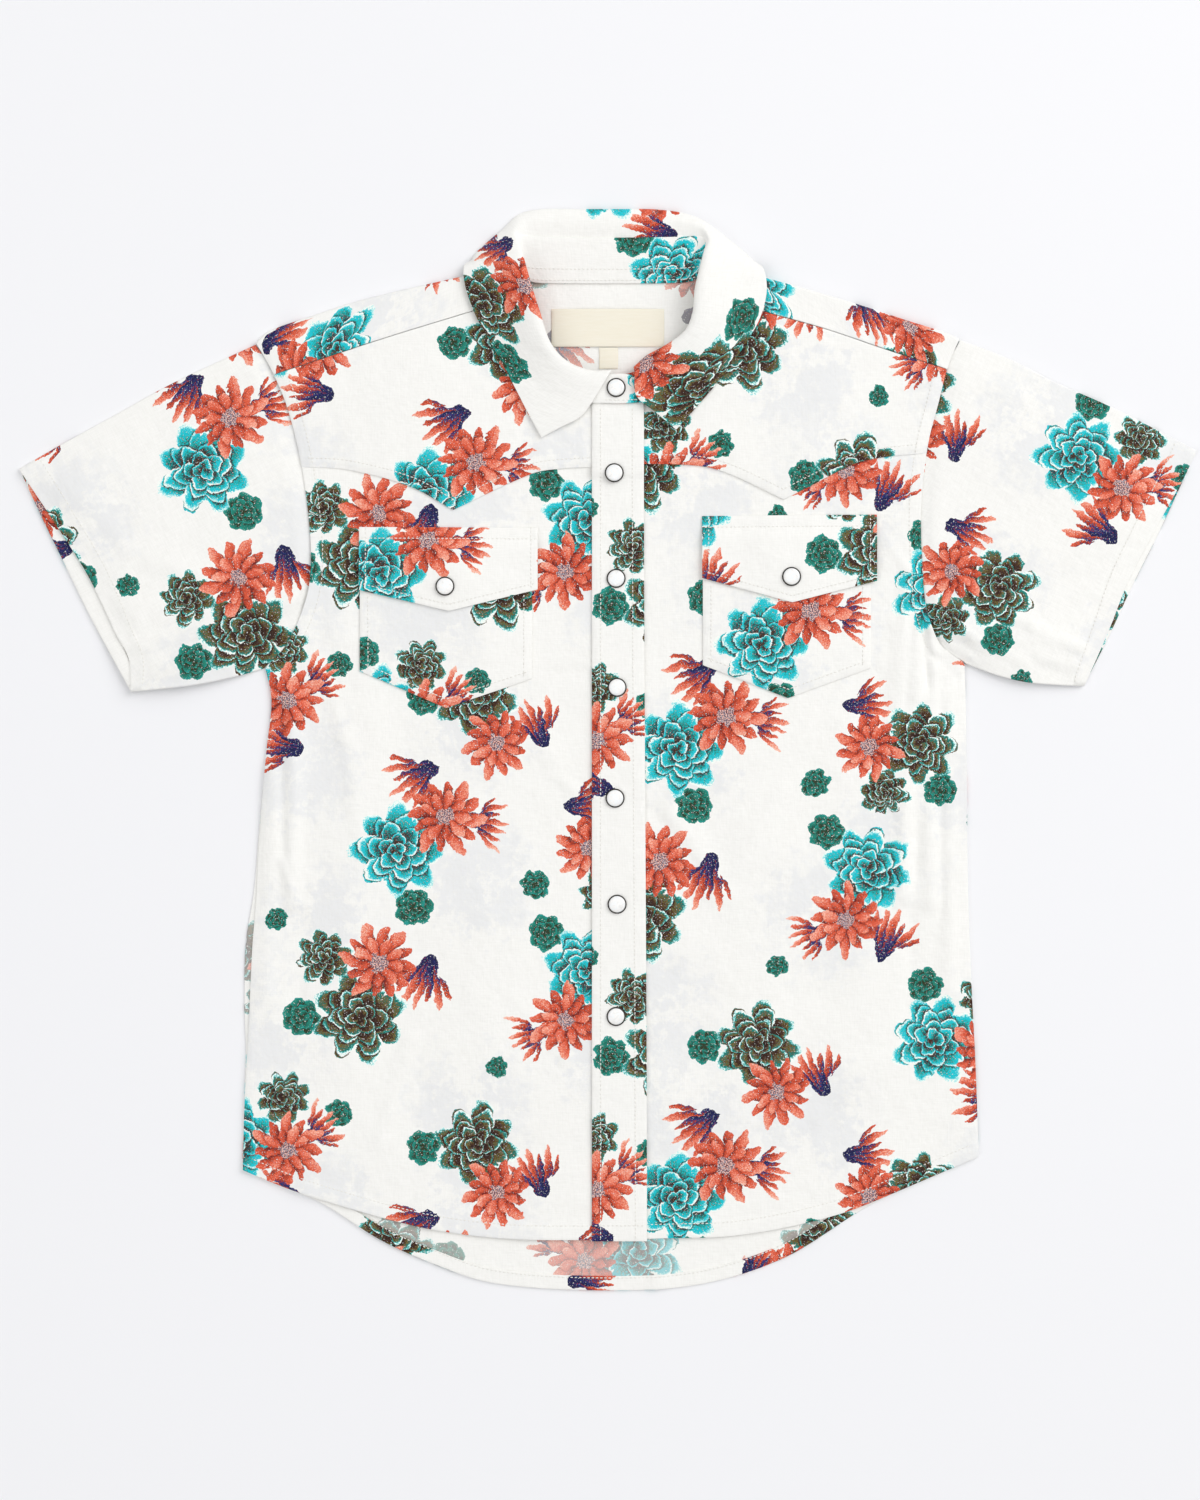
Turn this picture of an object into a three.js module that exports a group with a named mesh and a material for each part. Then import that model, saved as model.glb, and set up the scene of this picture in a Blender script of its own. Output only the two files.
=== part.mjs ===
// A child's short-sleeved western snap shirt, laid flat face up, for three.js 0.186. Run with Node 22.
// Millimetres. The default export is a THREE.Group with one named closed mesh for each cut piece.
// X runs across the shirt (to the right of someone looking down at it), Y from hem to collar and Z up
// from the surface it lies on. The origin is under the middle of the shirt. "left" and "right" in the
// names are those of the picture, so the left front carries the snap band and lies over the right one.
// Every piece is a sheet: a grid of points on its middle surface, thickened to a closed wall.
import * as THREE from "three";

const CLOTH = 1.0; // wall of one layer
const GAP = 0.3; // clearance at a seam and between layers
const SEAM = 0.6; // the same where two curved edges meet side by side
const STEP = CLOTH + GAP; // from the middle of one layer to the middle of the next
const FLOOR = CLOTH / 2; // middle of a layer that rests on the surface
const FOLD = 1.3; // radius of the shoulder fold
const SLEEVE_FOLD = 0.9; // radius of a sleeve's two long folds
const TUCK = 8; // front panel hidden under the pointed yoke
const BAND = { left: -7.8, right: 17.4, lowRight: 18.9, top: 167.4, under: 5 }; // snap band
const SNAP = { cap: 3.65, ringIn: 3.95, ringOut: 4.6, ringTall: 1.0, capTall: 1.5, sides: 16 };
const LABEL = { x: -0.2, y: 205, wide: 54.8, tall: 18.4 };
const TAG = { x: 0.2, top: 195.5, wide: 9.2, tall: 10.4 };

const mix = (a, b, t) => a + (b - a) * t;
const ease = (t) => {
  const s = Math.min(1, Math.max(0, t));
  return s * s * (3 - 2 * s);
};

// A smooth curve through the rows of a table, as a function of one named column. A row marked sharp
// is a corner. Outside the table the end value holds.
function through(rows, from = "x", to = "y") {
  const sorted = [...rows].sort((a, b) => a[from] - b[from]);
  const n = sorted.length;
  const slope = (i, j) => (sorted[j][to] - sorted[i][to]) / (sorted[j][from] - sorted[i][from]);
  const tangent = (i, side) => {
    if (i === 0) return slope(0, 1);
    if (i === n - 1) return slope(n - 2, n - 1);
    if (sorted[i].sharp) return side < 0 ? slope(i - 1, i) : slope(i, i + 1);
    return slope(i - 1, i + 1);
  };
  return (at) => {
    if (at <= sorted[0][from]) return sorted[0][to];
    if (at >= sorted[n - 1][from]) return sorted[n - 1][to];
    let i = 0;
    while (at > sorted[i + 1][from]) i++;
    const span = sorted[i + 1][from] - sorted[i][from];
    const t = (at - sorted[i][from]) / span;
    const a = tangent(i, 1) * span;
    const b = tangent(i + 1, -1) * span;
    const p = sorted[i][to];
    const q = sorted[i + 1][to];
    return p + a * t + (3 * (q - p) - 2 * a - b) * t * t + (2 * (p - q) + a + b) * t * t * t;
  };
}

// A path in plan through table rows, by the share of its length.
function path(rows) {
  const curve = new THREE.CatmullRomCurve3(
    rows.map((r) => new THREE.Vector3(r.x, r.y, 0)),
    false,
    "centripetal",
  );
  return (t) => curve.getPointAt(Math.min(1, Math.max(0, t)));
}

// Shares from 0 to 1 that stop at each break, with a count of steps for each stretch.
function shares(breaks, counts) {
  const out = [breaks[0]];
  counts.forEach((n, k) => {
    for (let i = 1; i <= n; i++) out.push(mix(breaks[k], breaks[k + 1], i / n));
  });
  return out;
}

const shirt = new THREE.Group();
shirt.name = "western_snap_shirt";

function addMesh(name, geometry) {
  const mesh = new THREE.Mesh(geometry, new THREE.MeshStandardMaterial({ color: 0xf2f1ea }));
  mesh.name = name;
  shirt.add(mesh);
  return mesh;
}

// Thickens a grid of points, grid[row][column], into one closed wall. keep(row, column) drops cells
// from the grid and wrap joins the last column to the first. Across rows and columns the outer face
// is the one that looks along the product of the column step and the row step.
function sheet(name, grid, { wall = CLOTH, keep = () => true, wrap = false } = {}) {
  const rows = grid.length;
  const cols = grid[0].length;
  const id = (j, i) => j * cols + (i % cols);
  const points = grid.flat();
  const normals = points.map(() => new THREE.Vector3());
  const cells = [];
  for (let j = 0; j < rows - 1; j++)
    for (let i = 0; i < (wrap ? cols : cols - 1); i++) {
      if (!keep(j, i)) continue;
      const cell = [id(j, i), id(j, i + 1), id(j + 1, i + 1), id(j + 1, i)];
      cells.push(cell);
      const across = points[cell[2]].clone().sub(points[cell[0]]);
      const along = points[cell[3]].clone().sub(points[cell[1]]);
      const face = across.cross(along).normalize();
      cell.forEach((v) => normals[v].add(face));
    }
  const used = new Map();
  const at = [];
  for (const v of new Set(cells.flat())) {
    used.set(v, at.length / 6);
    const n = normals[v].normalize().multiplyScalar(wall / 2);
    const p = points[v];
    at.push(p.x + n.x, p.y + n.y, Math.max(0, p.z + n.z));
    at.push(p.x - n.x, p.y - n.y, Math.max(0, p.z - n.z));
  }
  const top = (v) => 2 * used.get(v);
  const low = (v) => 2 * used.get(v) + 1;
  const index = [];
  const quad = (a, b, c, d) => index.push(a, b, c, a, c, d);
  const edges = new Set();
  for (const [a, b, c, d] of cells) {
    quad(top(a), top(b), top(c), top(d));
    quad(low(d), low(c), low(b), low(a));
    [[a, b], [b, c], [c, d], [d, a]].forEach(([p, q]) => edges.add(p + "_" + q));
  }
  for (const edge of edges) {
    const [p, q] = edge.split("_").map(Number);
    if (!edges.has(q + "_" + p)) quad(top(q), top(p), low(p), low(q));
  }
  const geometry = new THREE.BufferGeometry();
  geometry.setAttribute("position", new THREE.Float32BufferAttribute(at, 3));
  geometry.setIndex(index);
  return addMesh(name, geometry);
}

// Points of a panel between a left and a right edge, x of y, and a bottom and a top edge, y of x.
function panel({ across, up, left, right, bottom, top, height }) {
  return up.map((v) =>
    across.map((u) => {
      let y = mix(bottom(mix(left(0), right(0), u)), top(mix(left(0), right(0), u)), v);
      let x = 0;
      for (let k = 0; k < 40; k++) {
        x = mix(left(y), right(y), u);
        y = mix(y, mix(bottom(x), top(x), v), 0.6);
      }
      return new THREE.Vector3(x, y, height(x, y));
    }),
  );
}

// Outlines.

const armLeft = [
  { x: -170.5, y: 197.0 },
  { x: -163.2, y: 184.3 },
  { x: -155.7, y: 166.4 },
  { x: -149.9, y: 143.6 },
  { x: -146.2, y: 121.0 },
  { x: -144.2, y: 97.5 },
  { x: -145.0, y: 80.0 },
  { x: -149.4, y: 65.0 },
  { x: -157.0, y: 50.0 },
  { x: -166.4, y: 40.2, sharp: true },
];
const armRight = [
  { x: 170.3, y: 199.3 },
  { x: 164.9, y: 185.8 },
  { x: 160.2, y: 168.0 },
  { x: 155.6, y: 150.0 },
  { x: 152.6, y: 127.6 },
  { x: 151.8, y: 112.0 },
  { x: 152.6, y: 90.0 },
  { x: 154.4, y: 70.0 },
  { x: 161.0, y: 51.5 },
  { x: 173.0, y: 42.2, sharp: true },
];
const sideLeft = [
  { x: -163.4, y: 24.2 },
  { x: -165.8, y: 0.0 },
  { x: -169.4, y: -43.6 },
  { x: -170.9, y: -72.8 },
  { x: -172.8, y: -97.0 },
  { x: -174.3, y: -130.9 },
  { x: -176.4, y: -169.8 },
  { x: -177.3, y: -203.7 },
];
const sideRight = [
  { x: 173.6, y: 26.0 },
  { x: 174.2, y: -10.7 },
  { x: 174.8, y: -67.9 },
  { x: 176.5, y: -114.0 },
  { x: 178.4, y: -152.0 },
  { x: 180.0, y: -197.4 },
];
// The back shows a little past the front at the left side.
const peekLeft = [
  { x: 0, y: 45 },
  { x: 0.3, y: -20 },
  { x: 1.0, y: -62 },
  { x: 3.2, y: -92 },
  { x: 2.6, y: -125 },
  { x: 0.6, y: -150 },
  { x: 0.4, y: -203 },
];
const frontHem = [
  { x: -178.5, y: -203.4 },
  { x: -159.1, y: -211.5 },
  { x: -138.7, y: -218.4 },
  { x: -94.1, y: -230.9 },
  { x: -55.3, y: -236.7 },
  { x: -7.8, y: -237.8 },
  { x: 31.0, y: -236.9 },
  { x: 58.2, y: -236.0 },
  { x: 85.8, y: -231.8 },
  { x: 113.0, y: -225.0 },
  { x: 138.7, y: -214.9 },
  { x: 181.0, y: -197.0 },
];
const backHem = [
  { x: -178.5, y: -203.4 },
  { x: -159.1, y: -211.8 },
  { x: -139.7, y: -219.8 },
  { x: -111.1, y: -237.7 },
  { x: -86.8, y: -248.8 },
  { x: -56.7, y: -258.8 },
  { x: -2.9, y: -262.5 },
  { x: 44.6, y: -259.6 },
  { x: 85.8, y: -246.6 },
  { x: 123.7, y: -223.1 },
  { x: 138.7, y: -215.4 },
  { x: 181.0, y: -197.0 },
];
const yokePointLeft = { x: -75.2, y: 116.4, sharp: true };
const yokePointRight = { x: 85.2, y: 121.4, sharp: true };
const yokeEdgeLeft = [
  { x: -150.0, y: 137.4 },
  { x: -125.6, y: 135.8 },
  { x: -95.5, y: 127.6 },
  yokePointLeft,
  { x: -37.3, y: 133.9 },
  { x: -23.3, y: 136.4 },
  { x: -2.0, y: 137.4 },
];
const yokeEdgeRight = [
  { x: -2.0, y: 138.8 },
  { x: 17.0, y: 138.8 },
  { x: 46.0, y: 137.6 },
  { x: 60.6, y: 133.2 },
  yokePointRight,
  { x: 98.0, y: 128.0 },
  { x: 123.2, y: 140.0 },
  { x: 155.0, y: 144.2 },
];
// Top of the front yokes: the forward shoulder seam, then the front neckline under the collar.
const NECK_LEFT = { x: -50.0, y: 217.6, sharp: true };
const NECK_RIGHT = { x: 55.0, y: 219.0, sharp: true };
const shoulderSeamLeft = [
  { x: -163.0, y: 181.6 },
  { x: -137.0, y: 190.2 },
  { x: -107.7, y: 199.8 },
  { x: -66.9, y: 212.4 },
  NECK_LEFT,
];
const shoulderSeamRight = [
  NECK_RIGHT,
  { x: 77.4, y: 212.1 },
  { x: 106.7, y: 203.7 },
  { x: 136.3, y: 193.6 },
  { x: 165.0, y: 184.4 },
];
const neckLeft = [
  { x: -46.0, y: 202.0 },
  { x: -38.0, y: 187.0 },
  { x: -25.0, y: 176.0 },
  { x: -10.0, y: 171.2 },
  { x: -2.0, y: 170.4 },
];
const neckRight = [
  { x: -2.0, y: 170.4 },
  { x: 15.0, y: 171.0 },
  { x: 30.0, y: 176.4 },
  { x: 43.0, y: 188.0 },
  { x: 51.0, y: 203.0 },
];
// Shoulder fold, the top outline, and the back neckline between its two ends.
const NECK_FOLD = { left: -50.0, right: 52.0 };
const shoulderFold = [
  { x: -172.0, y: 196.6 },
  { x: -164.9, y: 203.0 },
  { x: -145.0, y: 210.2 },
  { x: -120.3, y: 218.2 },
  { x: -75.2, y: 228.9 },
  { x: NECK_FOLD.left, y: 233.8, sharp: true },
  { x: -44.0, y: 230.8 },
  { x: -35.0, y: 229.2 },
  { x: 0.0, y: 229.0 },
  { x: 37.0, y: 229.2 },
  { x: 46.0, y: 231.0 },
  { x: NECK_FOLD.right, y: 234.4, sharp: true },
  { x: 77.6, y: 228.9 },
  { x: 119.8, y: 216.8 },
  { x: 145.5, y: 208.4 },
  { x: 164.5, y: 202.4 },
  { x: 171.5, y: 199.0 },
];
const BACK_SEAM = { side: 152, point: 138 }; // height of the back yoke's pointed seam

// Largest folds, as soft ridges (or troughs, where high is negative) from one end to the other.
const folds = [
  { x0: 146, y0: 84, x1: 144, y1: -70, wide: 5.0, high: 2.0 },
  { x0: 155, y0: 62, x1: 156.5, y1: -74, wide: 4.2, high: 1.7 },
  { x0: 165, y0: 26, x1: 166.5, y1: -118, wide: 4.5, high: 1.3 },
  { x0: 150, y0: 74, x1: 156, y1: 30, wide: 3.5, high: -1.2 },
  { x0: -154, y0: 22, x1: -152, y1: -74, wide: 5.0, high: 1.9 },
  { x0: -162, y0: -10, x1: -166, y1: -120, wide: 4.5, high: 1.2 },
  { x0: -34, y0: 4, x1: -17, y1: -18, wide: 5.0, high: 1.0 },
  { x0: 32, y0: -34, x1: 54, y1: -68, wide: 7.0, high: 1.3 },
  { x0: -118, y0: 8, x1: -128, y1: -150, wide: 16, high: 1.1 },
  { x0: 116, y0: 4, x1: 122, y1: -150, wide: 18, high: 1.1 },
  { x0: -62, y0: 10, x1: -60, y1: -170, wide: 20, high: 0.9 },
  { x0: 70, y0: 10, x1: 74, y1: -170, wide: 20, high: 0.9 },
  { x0: -90, y0: 170, x1: -70, y1: 60, wide: 30, high: 0.9 },
  { x0: 100, y0: 170, x1: 84, y1: 60, wide: 30, high: 0.9 },
  { x0: -240, y0: 66, x1: -150, y1: 72, wide: 6.0, high: 1.0 },
  { x0: -178, y0: 62, x1: -146, y1: 84, wide: 5.0, high: 0.9 },
  { x0: -268, y0: 120, x1: -180, y1: 150, wide: 16, high: 1.0 },
  { x0: 228, y0: 50, x1: 158, y1: 60, wide: 5.0, high: 1.0 },
  { x0: 262, y0: 118, x1: 178, y1: 148, wide: 16, high: 1.0 },
];
function lift(x, y) {
  let sum = 0;
  for (const f of folds) {
    const dx = f.x1 - f.x0;
    const dy = f.y1 - f.y0;
    const t = ((x - f.x0) * dx + (y - f.y0) * dy) / (dx * dx + dy * dy);
    const c = Math.min(1, Math.max(0, t));
    const d = Math.hypot(x - f.x0 - c * dx, y - f.y0 - c * dy) / f.wide;
    sum += f.high * Math.exp(-d * d);
  }
  return Math.max(0, sum);
}

// Heights of the layers' middles.
const fadeAtEdge = (x) => ease((178 - Math.abs(x)) / 9);
const frontHeight = (x, y) => FLOOR + STEP + lift(x, y) * fadeAtEdge(x);
const yokeHeight = (x, y) => frontHeight(x, y) + STEP;
const bandHeight = (x, y) => frontHeight(x, y) + STEP * (1 + ease((y - 131) / 4));
const pocketHeight = (x, y) => frontHeight(x, y) + STEP;
const flapHeight = (x, y) => frontHeight(x, y) + STEP * (1 + ease(((x < 0 ? 104 : 109) - y) / 7));

const armX = { left: through([...armLeft, ...sideLeft], "y", "x"), right: through([...armRight, ...sideRight], "y", "x") };
const peek = through(peekLeft, "y", "x");
const hemFrontY = through(frontHem);
const hemBackY = through(backHem);
const yokeEdgeY = { left: through(yokeEdgeLeft), right: through(yokeEdgeRight) };
const foldY = through(shoulderFold);

// Back panel and back yoke. The yoke turns over the shoulder fold to the forward shoulder seam.

const backSeamY = through([
  { x: -156, y: BACK_SEAM.side },
  { x: -80, y: BACK_SEAM.side - 2 },
  { x: 0, y: BACK_SEAM.point },
  { x: 80, y: BACK_SEAM.side - 2 },
  { x: 158, y: BACK_SEAM.side },
]);
sheet(
  "back_panel",
  panel({
    across: shares([0, 0.5, 1], [8, 8]),
    up: shares([0, 0.2, 0.68, 1], [3, 5, 6]),
    left: (y) => armX.left(y) - peek(y),
    right: (y) => armX.right(y),
    bottom: hemBackY,
    top: (x) => backSeamY(x) - SEAM,
    height: () => FLOOR,
  }),
);

const yokeAcross = shares([-1, -0.293, 0.305, 1], [9, 10, 9]);
const yokeNeck = [9, 19];
const backRows = shares([0, 0.5, 1], [3, 4]);
const turnRows = [1, 2, 3, 4].map((k) => (k / 5) * Math.PI);
const stripRows = shares([0, 1], [3]);
const seamY = { left: through(shoulderSeamLeft), right: through(shoulderSeamRight) };
const yokeRim = yokeAcross.map((u) => {
  const side = u < 0 ? "left" : "right";
  const end = u < 0 ? armX.left(196.8) : armX.right(199.2);
  const x = Math.abs(u) * end;
  return { side, x, y: foldY(x), u };
});
const backYoke = [];
for (const v of backRows)
  backYoke.push(
    yokeRim.map(({ x, y, side, u }, i) => {
      const isFold = i <= yokeNeck[0] || i >= yokeNeck[1];
      const top = isFold ? y - FOLD - CLOTH / 2 : y;
      let low = BACK_SEAM.side;
      for (let k = 0; k < 8; k++) low = backSeamY(Math.abs(u) * armX[side](low));
      const at = mix(low, top, v);
      return new THREE.Vector3(Math.abs(u) * armX[side](at), at, FLOOR);
    }),
  );
for (const a of turnRows)
  backYoke.push(
    yokeRim.map(({ x, y, side, u }) => {
      const at = y - FOLD - CLOTH / 2 + FOLD * Math.sin(a);
      return new THREE.Vector3(Math.abs(u) * armX[side](at), at, FLOOR + FOLD - FOLD * Math.cos(a));
    }),
  );
for (const v of stripRows)
  backYoke.push(
    yokeRim.map(({ x, y, side, u }) => {
      let end = seamY[side](x);
      for (let k = 0; k < 8; k++) end = seamY[side](Math.abs(u) * armX[side](end));
      const at = mix(y - FOLD - CLOTH / 2, end + SEAM, v);
      const here = Math.abs(u) * armX[side](at);
      const level = mix(FLOOR + 2 * FOLD, yokeHeight(here, at), ease(v * 1.4));
      return new THREE.Vector3(here, at, level);
    }),
  );
sheet("back_yoke", backYoke, {
  keep: (j, i) => j < backRows.length - 1 || i < yokeNeck[0] || i >= yokeNeck[1],
});

// Fronts. Columns crowd towards the side, where the folds are.

const crowd = (n, power) => Array.from({ length: n + 1 }, (_, i) => 1 - Math.pow(1 - i / n, power));
const frontUp = shares([0, 0.18, 0.72, 1], [3, 11, 8]);
sheet(
  "front_left",
  panel({
    across: crowd(18, 1.2).map((u) => 1 - u).reverse(),
    up: frontUp,
    left: armX.left,
    right: () => BAND.left + BAND.under,
    bottom: hemFrontY,
    top: (x) => yokeEdgeY.left(x) + TUCK,
    height: frontHeight,
  }),
);
sheet(
  "front_right",
  panel({
    across: crowd(20, 1.2),
    up: frontUp,
    left: () => BAND.left + BAND.under + GAP * 2,
    right: (y) => armX.right(y),
    bottom: hemFrontY,
    top: (x) => yokeEdgeY.right(x) + TUCK,
    height: frontHeight,
  }),
);

// Front yokes, pointed below.

const yokeUp = shares([0, 0.25, 1], [2, 6]);
const yokeTop = {
  left: through([...shoulderSeamLeft, ...neckLeft]),
  right: through([...neckRight, ...shoulderSeamRight]),
};
sheet(
  "yoke_left",
  panel({
    across: shares([0, 0.494, 0.7, 1], [7, 4, 5]),
    up: yokeUp,
    left: armX.left,
    right: () => BAND.left + BAND.under,
    bottom: yokeEdgeY.left,
    top: yokeTop.left,
    height: yokeHeight,
  }),
);
sheet(
  "yoke_right",
  panel({
    across: shares([0, 0.31, 0.566, 1], [6, 4, 7]),
    up: yokeUp,
    left: () => BAND.left + BAND.under + GAP * 2,
    right: armX.right,
    bottom: yokeEdgeY.right,
    top: yokeTop.right,
    height: yokeHeight,
  }),
);

// Snap band down the middle.

sheet(
  "snap_band",
  panel({
    across: shares([0, 1], [4]),
    up: shares([0, 0.9, 0.94, 1], [16, 4, 2]),
    left: () => BAND.left,
    right: (y) => mix(BAND.right, BAND.lowRight, ease((150 - y) / 390)),
    bottom: () => -238.2,
    top: () => BAND.top,
    height: bandHeight,
  }),
);

// Pockets and flaps.

const pockets = {
  left: { x0: -120.4, x1: -36.8, top: 91, side0: 38.3, side1: 34.6, tipX: -78.6, tipY: 20.4 },
  right: { x0: 46.0, x1: 127.5, top: 96, side0: 41.2, side1: 39.8, tipX: 87.3, tipY: 25.2 },
};
const flaps = {
  left: { x0: -120.8, x1: -34.1, top0: 108.2, top1: 107.8, side0: 77.6, side1: 77.8, tipX: -77.0, tipY: 67.3 },
  right: { x0: 45.6, x1: 130.4, top0: 113.5, top1: 114.2, side0: 83.4, side1: 82.0, tipX: 89.2, tipY: 71.5 },
};
for (const side of ["left", "right"]) {
  const p = pockets[side];
  const tip = (p.tipX - p.x0) / (p.x1 - p.x0);
  sheet(
    "pocket_" + side,
    panel({
      across: shares([0, tip, 1], [5, 5]),
      up: shares([0, 0.4, 1], [2, 4]),
      left: () => p.x0,
      right: () => p.x1,
      bottom: through([
        { x: p.x0, y: p.side0 },
        { x: p.tipX, y: p.tipY, sharp: true },
        { x: p.x1, y: p.side1 },
      ]),
      top: () => p.top,
      height: pocketHeight,
    }),
  );
  const f = flaps[side];
  const point = (f.tipX - f.x0) / (f.x1 - f.x0);
  sheet(
    "flap_" + side,
    panel({
      across: shares([0, point, 1], [5, 5]),
      up: shares([0, 0.56, 0.72, 0.86, 1], [3, 1, 1, 1]),
      left: () => f.x0,
      right: () => f.x1,
      bottom: through([
        { x: f.x0, y: f.side0 },
        { x: f.tipX, y: f.tipY, sharp: true },
        { x: f.x1, y: f.side1 },
      ]),
      top: (x) => mix(f.top0, f.top1, (x - f.x0) / (f.x1 - f.x0)),
      height: flapHeight,
    }),
  );
}

// Sleeves: flattened tubes, open at the cuff. The back layer's cuff shows past the front one's.

const sleeves = {
  left: {
    arm: armLeft,
    upper: [
      { x: -171.2, y: 196.9 },
      { x: -211.9, y: 178.0 },
      { x: -241.5, y: 161.6 },
      { x: -263.8, y: 149.4 },
      { x: -286.0, y: 136.6 },
    ],
    lower: [
      { x: -167.2, y: 39.6 },
      { x: -181.4, y: 35.4 },
      { x: -200.3, y: 31.4 },
      { x: -218.0, y: 29.4 },
      { x: -231.3, y: 28.2 },
    ],
    cuffFront: [
      { x: -286.0, y: 136.6 },
      { x: -268.7, y: 110.6 },
      { x: -252.0, y: 84.0 },
      { x: -238.5, y: 56.0 },
      { x: -232.2, y: 44.0 },
      { x: -231.3, y: 28.2 },
    ],
    cuffBack: [
      { x: -286.0, y: 136.6 },
      { x: -276.4, y: 115.4 },
      { x: -263.4, y: 88.3 },
      { x: -252.2, y: 65.0 },
      { x: -242.0, y: 46.1 },
      { x: -232.3, y: 28.6 },
    ],
  },
  right: {
    arm: armRight,
    upper: [
      { x: 171.0, y: 199.2 },
      { x: 194.5, y: 190.1 },
      { x: 217.8, y: 178.4 },
      { x: 244.9, y: 166.4 },
      { x: 286.0, y: 145.4 },
    ],
    lower: [
      { x: 173.9, y: 42.0 },
      { x: 189.2, y: 36.2 },
      { x: 203.2, y: 32.8 },
      { x: 219.0, y: 31.4 },
      { x: 231.0, y: 31.0 },
    ],
    cuffFront: [
      { x: 286.0, y: 145.4 },
      { x: 279.0, y: 131.4 },
      { x: 265.3, y: 106.6 },
      { x: 252.8, y: 82.8 },
      { x: 243.2, y: 58.6 },
      { x: 231.0, y: 31.0 },
    ],
    cuffBack: [
      { x: 286.0, y: 145.4 },
      { x: 279.6, y: 131.0 },
      { x: 268.8, y: 107.0 },
      { x: 255.8, y: 80.0 },
      { x: 245.4, y: 57.0 },
      { x: 232.6, y: 31.0 },
    ],
  },
};
for (const side of ["left", "right"]) {
  const s = sleeves[side];
  const sign = side === "left" ? -1 : 1;
  const inset = SLEEVE_FOLD + CLOTH / 2;
  const armTop = s.arm[0].y;
  const armLow = s.arm[s.arm.length - 1].y;
  const seam = (w) => {
    const y = mix(armTop, armLow, w);
    return new THREE.Vector3(armX[side](y) + sign * SEAM, y, 0);
  };
  const upper = path(s.upper);
  const lower = path(s.lower);
  const cuffs = { front: path(s.cuffFront), back: path(s.cuffBack) };
  // Coons patch: u from the armhole to the cuff, w from the top fold to the underarm.
  const plan = (cuff, u, w) => {
    const p = seam(w).multiplyScalar(1 - u).add(cuff(w).multiplyScalar(u));
    const q = upper(u).multiplyScalar(1 - w).add(lower(u).multiplyScalar(w));
    const corner = seam(0).multiplyScalar((1 - u) * (1 - w));
    corner.add(cuff(0).multiplyScalar(u * (1 - w)));
    corner.add(seam(1).multiplyScalar((1 - u) * w));
    corner.add(cuff(1).multiplyScalar(u * w));
    return p.add(q).sub(corner);
  };
  const layer = shares([0, 1], [11]);
  const turn = [1, 2, 3].map((k) => (k / 4) * Math.PI);
  const along = shares([0, 1], [9]);
  const rows = along.map((u) => {
    const ring = [];
    const span = plan(cuffs.front, u, 0).distanceTo(plan(cuffs.front, u, 1));
    const edge = inset / span;
    const height = (x, y) => FLOOR + 2 * SLEEVE_FOLD + lift(x, y) * 0.8;
    for (const t of layer) {
      const w = mix(edge, 1 - edge, t);
      const p = plan(cuffs.front, u, w);
      const soft = ease(t * 8) * ease((1 - t) * 8);
      ring.push(p.setZ(mix(FLOOR + 2 * SLEEVE_FOLD, height(p.x, p.y), soft)));
    }
    for (const a of turn) {
      const w = 1 - edge + (edge * SLEEVE_FOLD * Math.sin(a)) / inset;
      const p = plan(a < Math.PI / 2 ? cuffs.front : cuffs.back, u, w);
      ring.push(p.setZ(FLOOR + SLEEVE_FOLD + SLEEVE_FOLD * Math.cos(a)));
    }
    for (const t of [...layer].reverse()) {
      const p = plan(cuffs.back, u, mix(edge, 1 - edge, t));
      ring.push(p.setZ(FLOOR));
    }
    for (const a of turn) {
      const w = edge - (edge * SLEEVE_FOLD * Math.sin(a)) / inset;
      const p = plan(a > Math.PI / 2 ? cuffs.front : cuffs.back, u, w);
      ring.push(p.setZ(FLOOR + SLEEVE_FOLD - SLEEVE_FOLD * Math.cos(a)));
    }
    return sign > 0 ? ring : ring.reverse();
  });
  sheet("sleeve_" + side, rows.map((ring) => [...ring].reverse()), { wrap: true });
}

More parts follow.
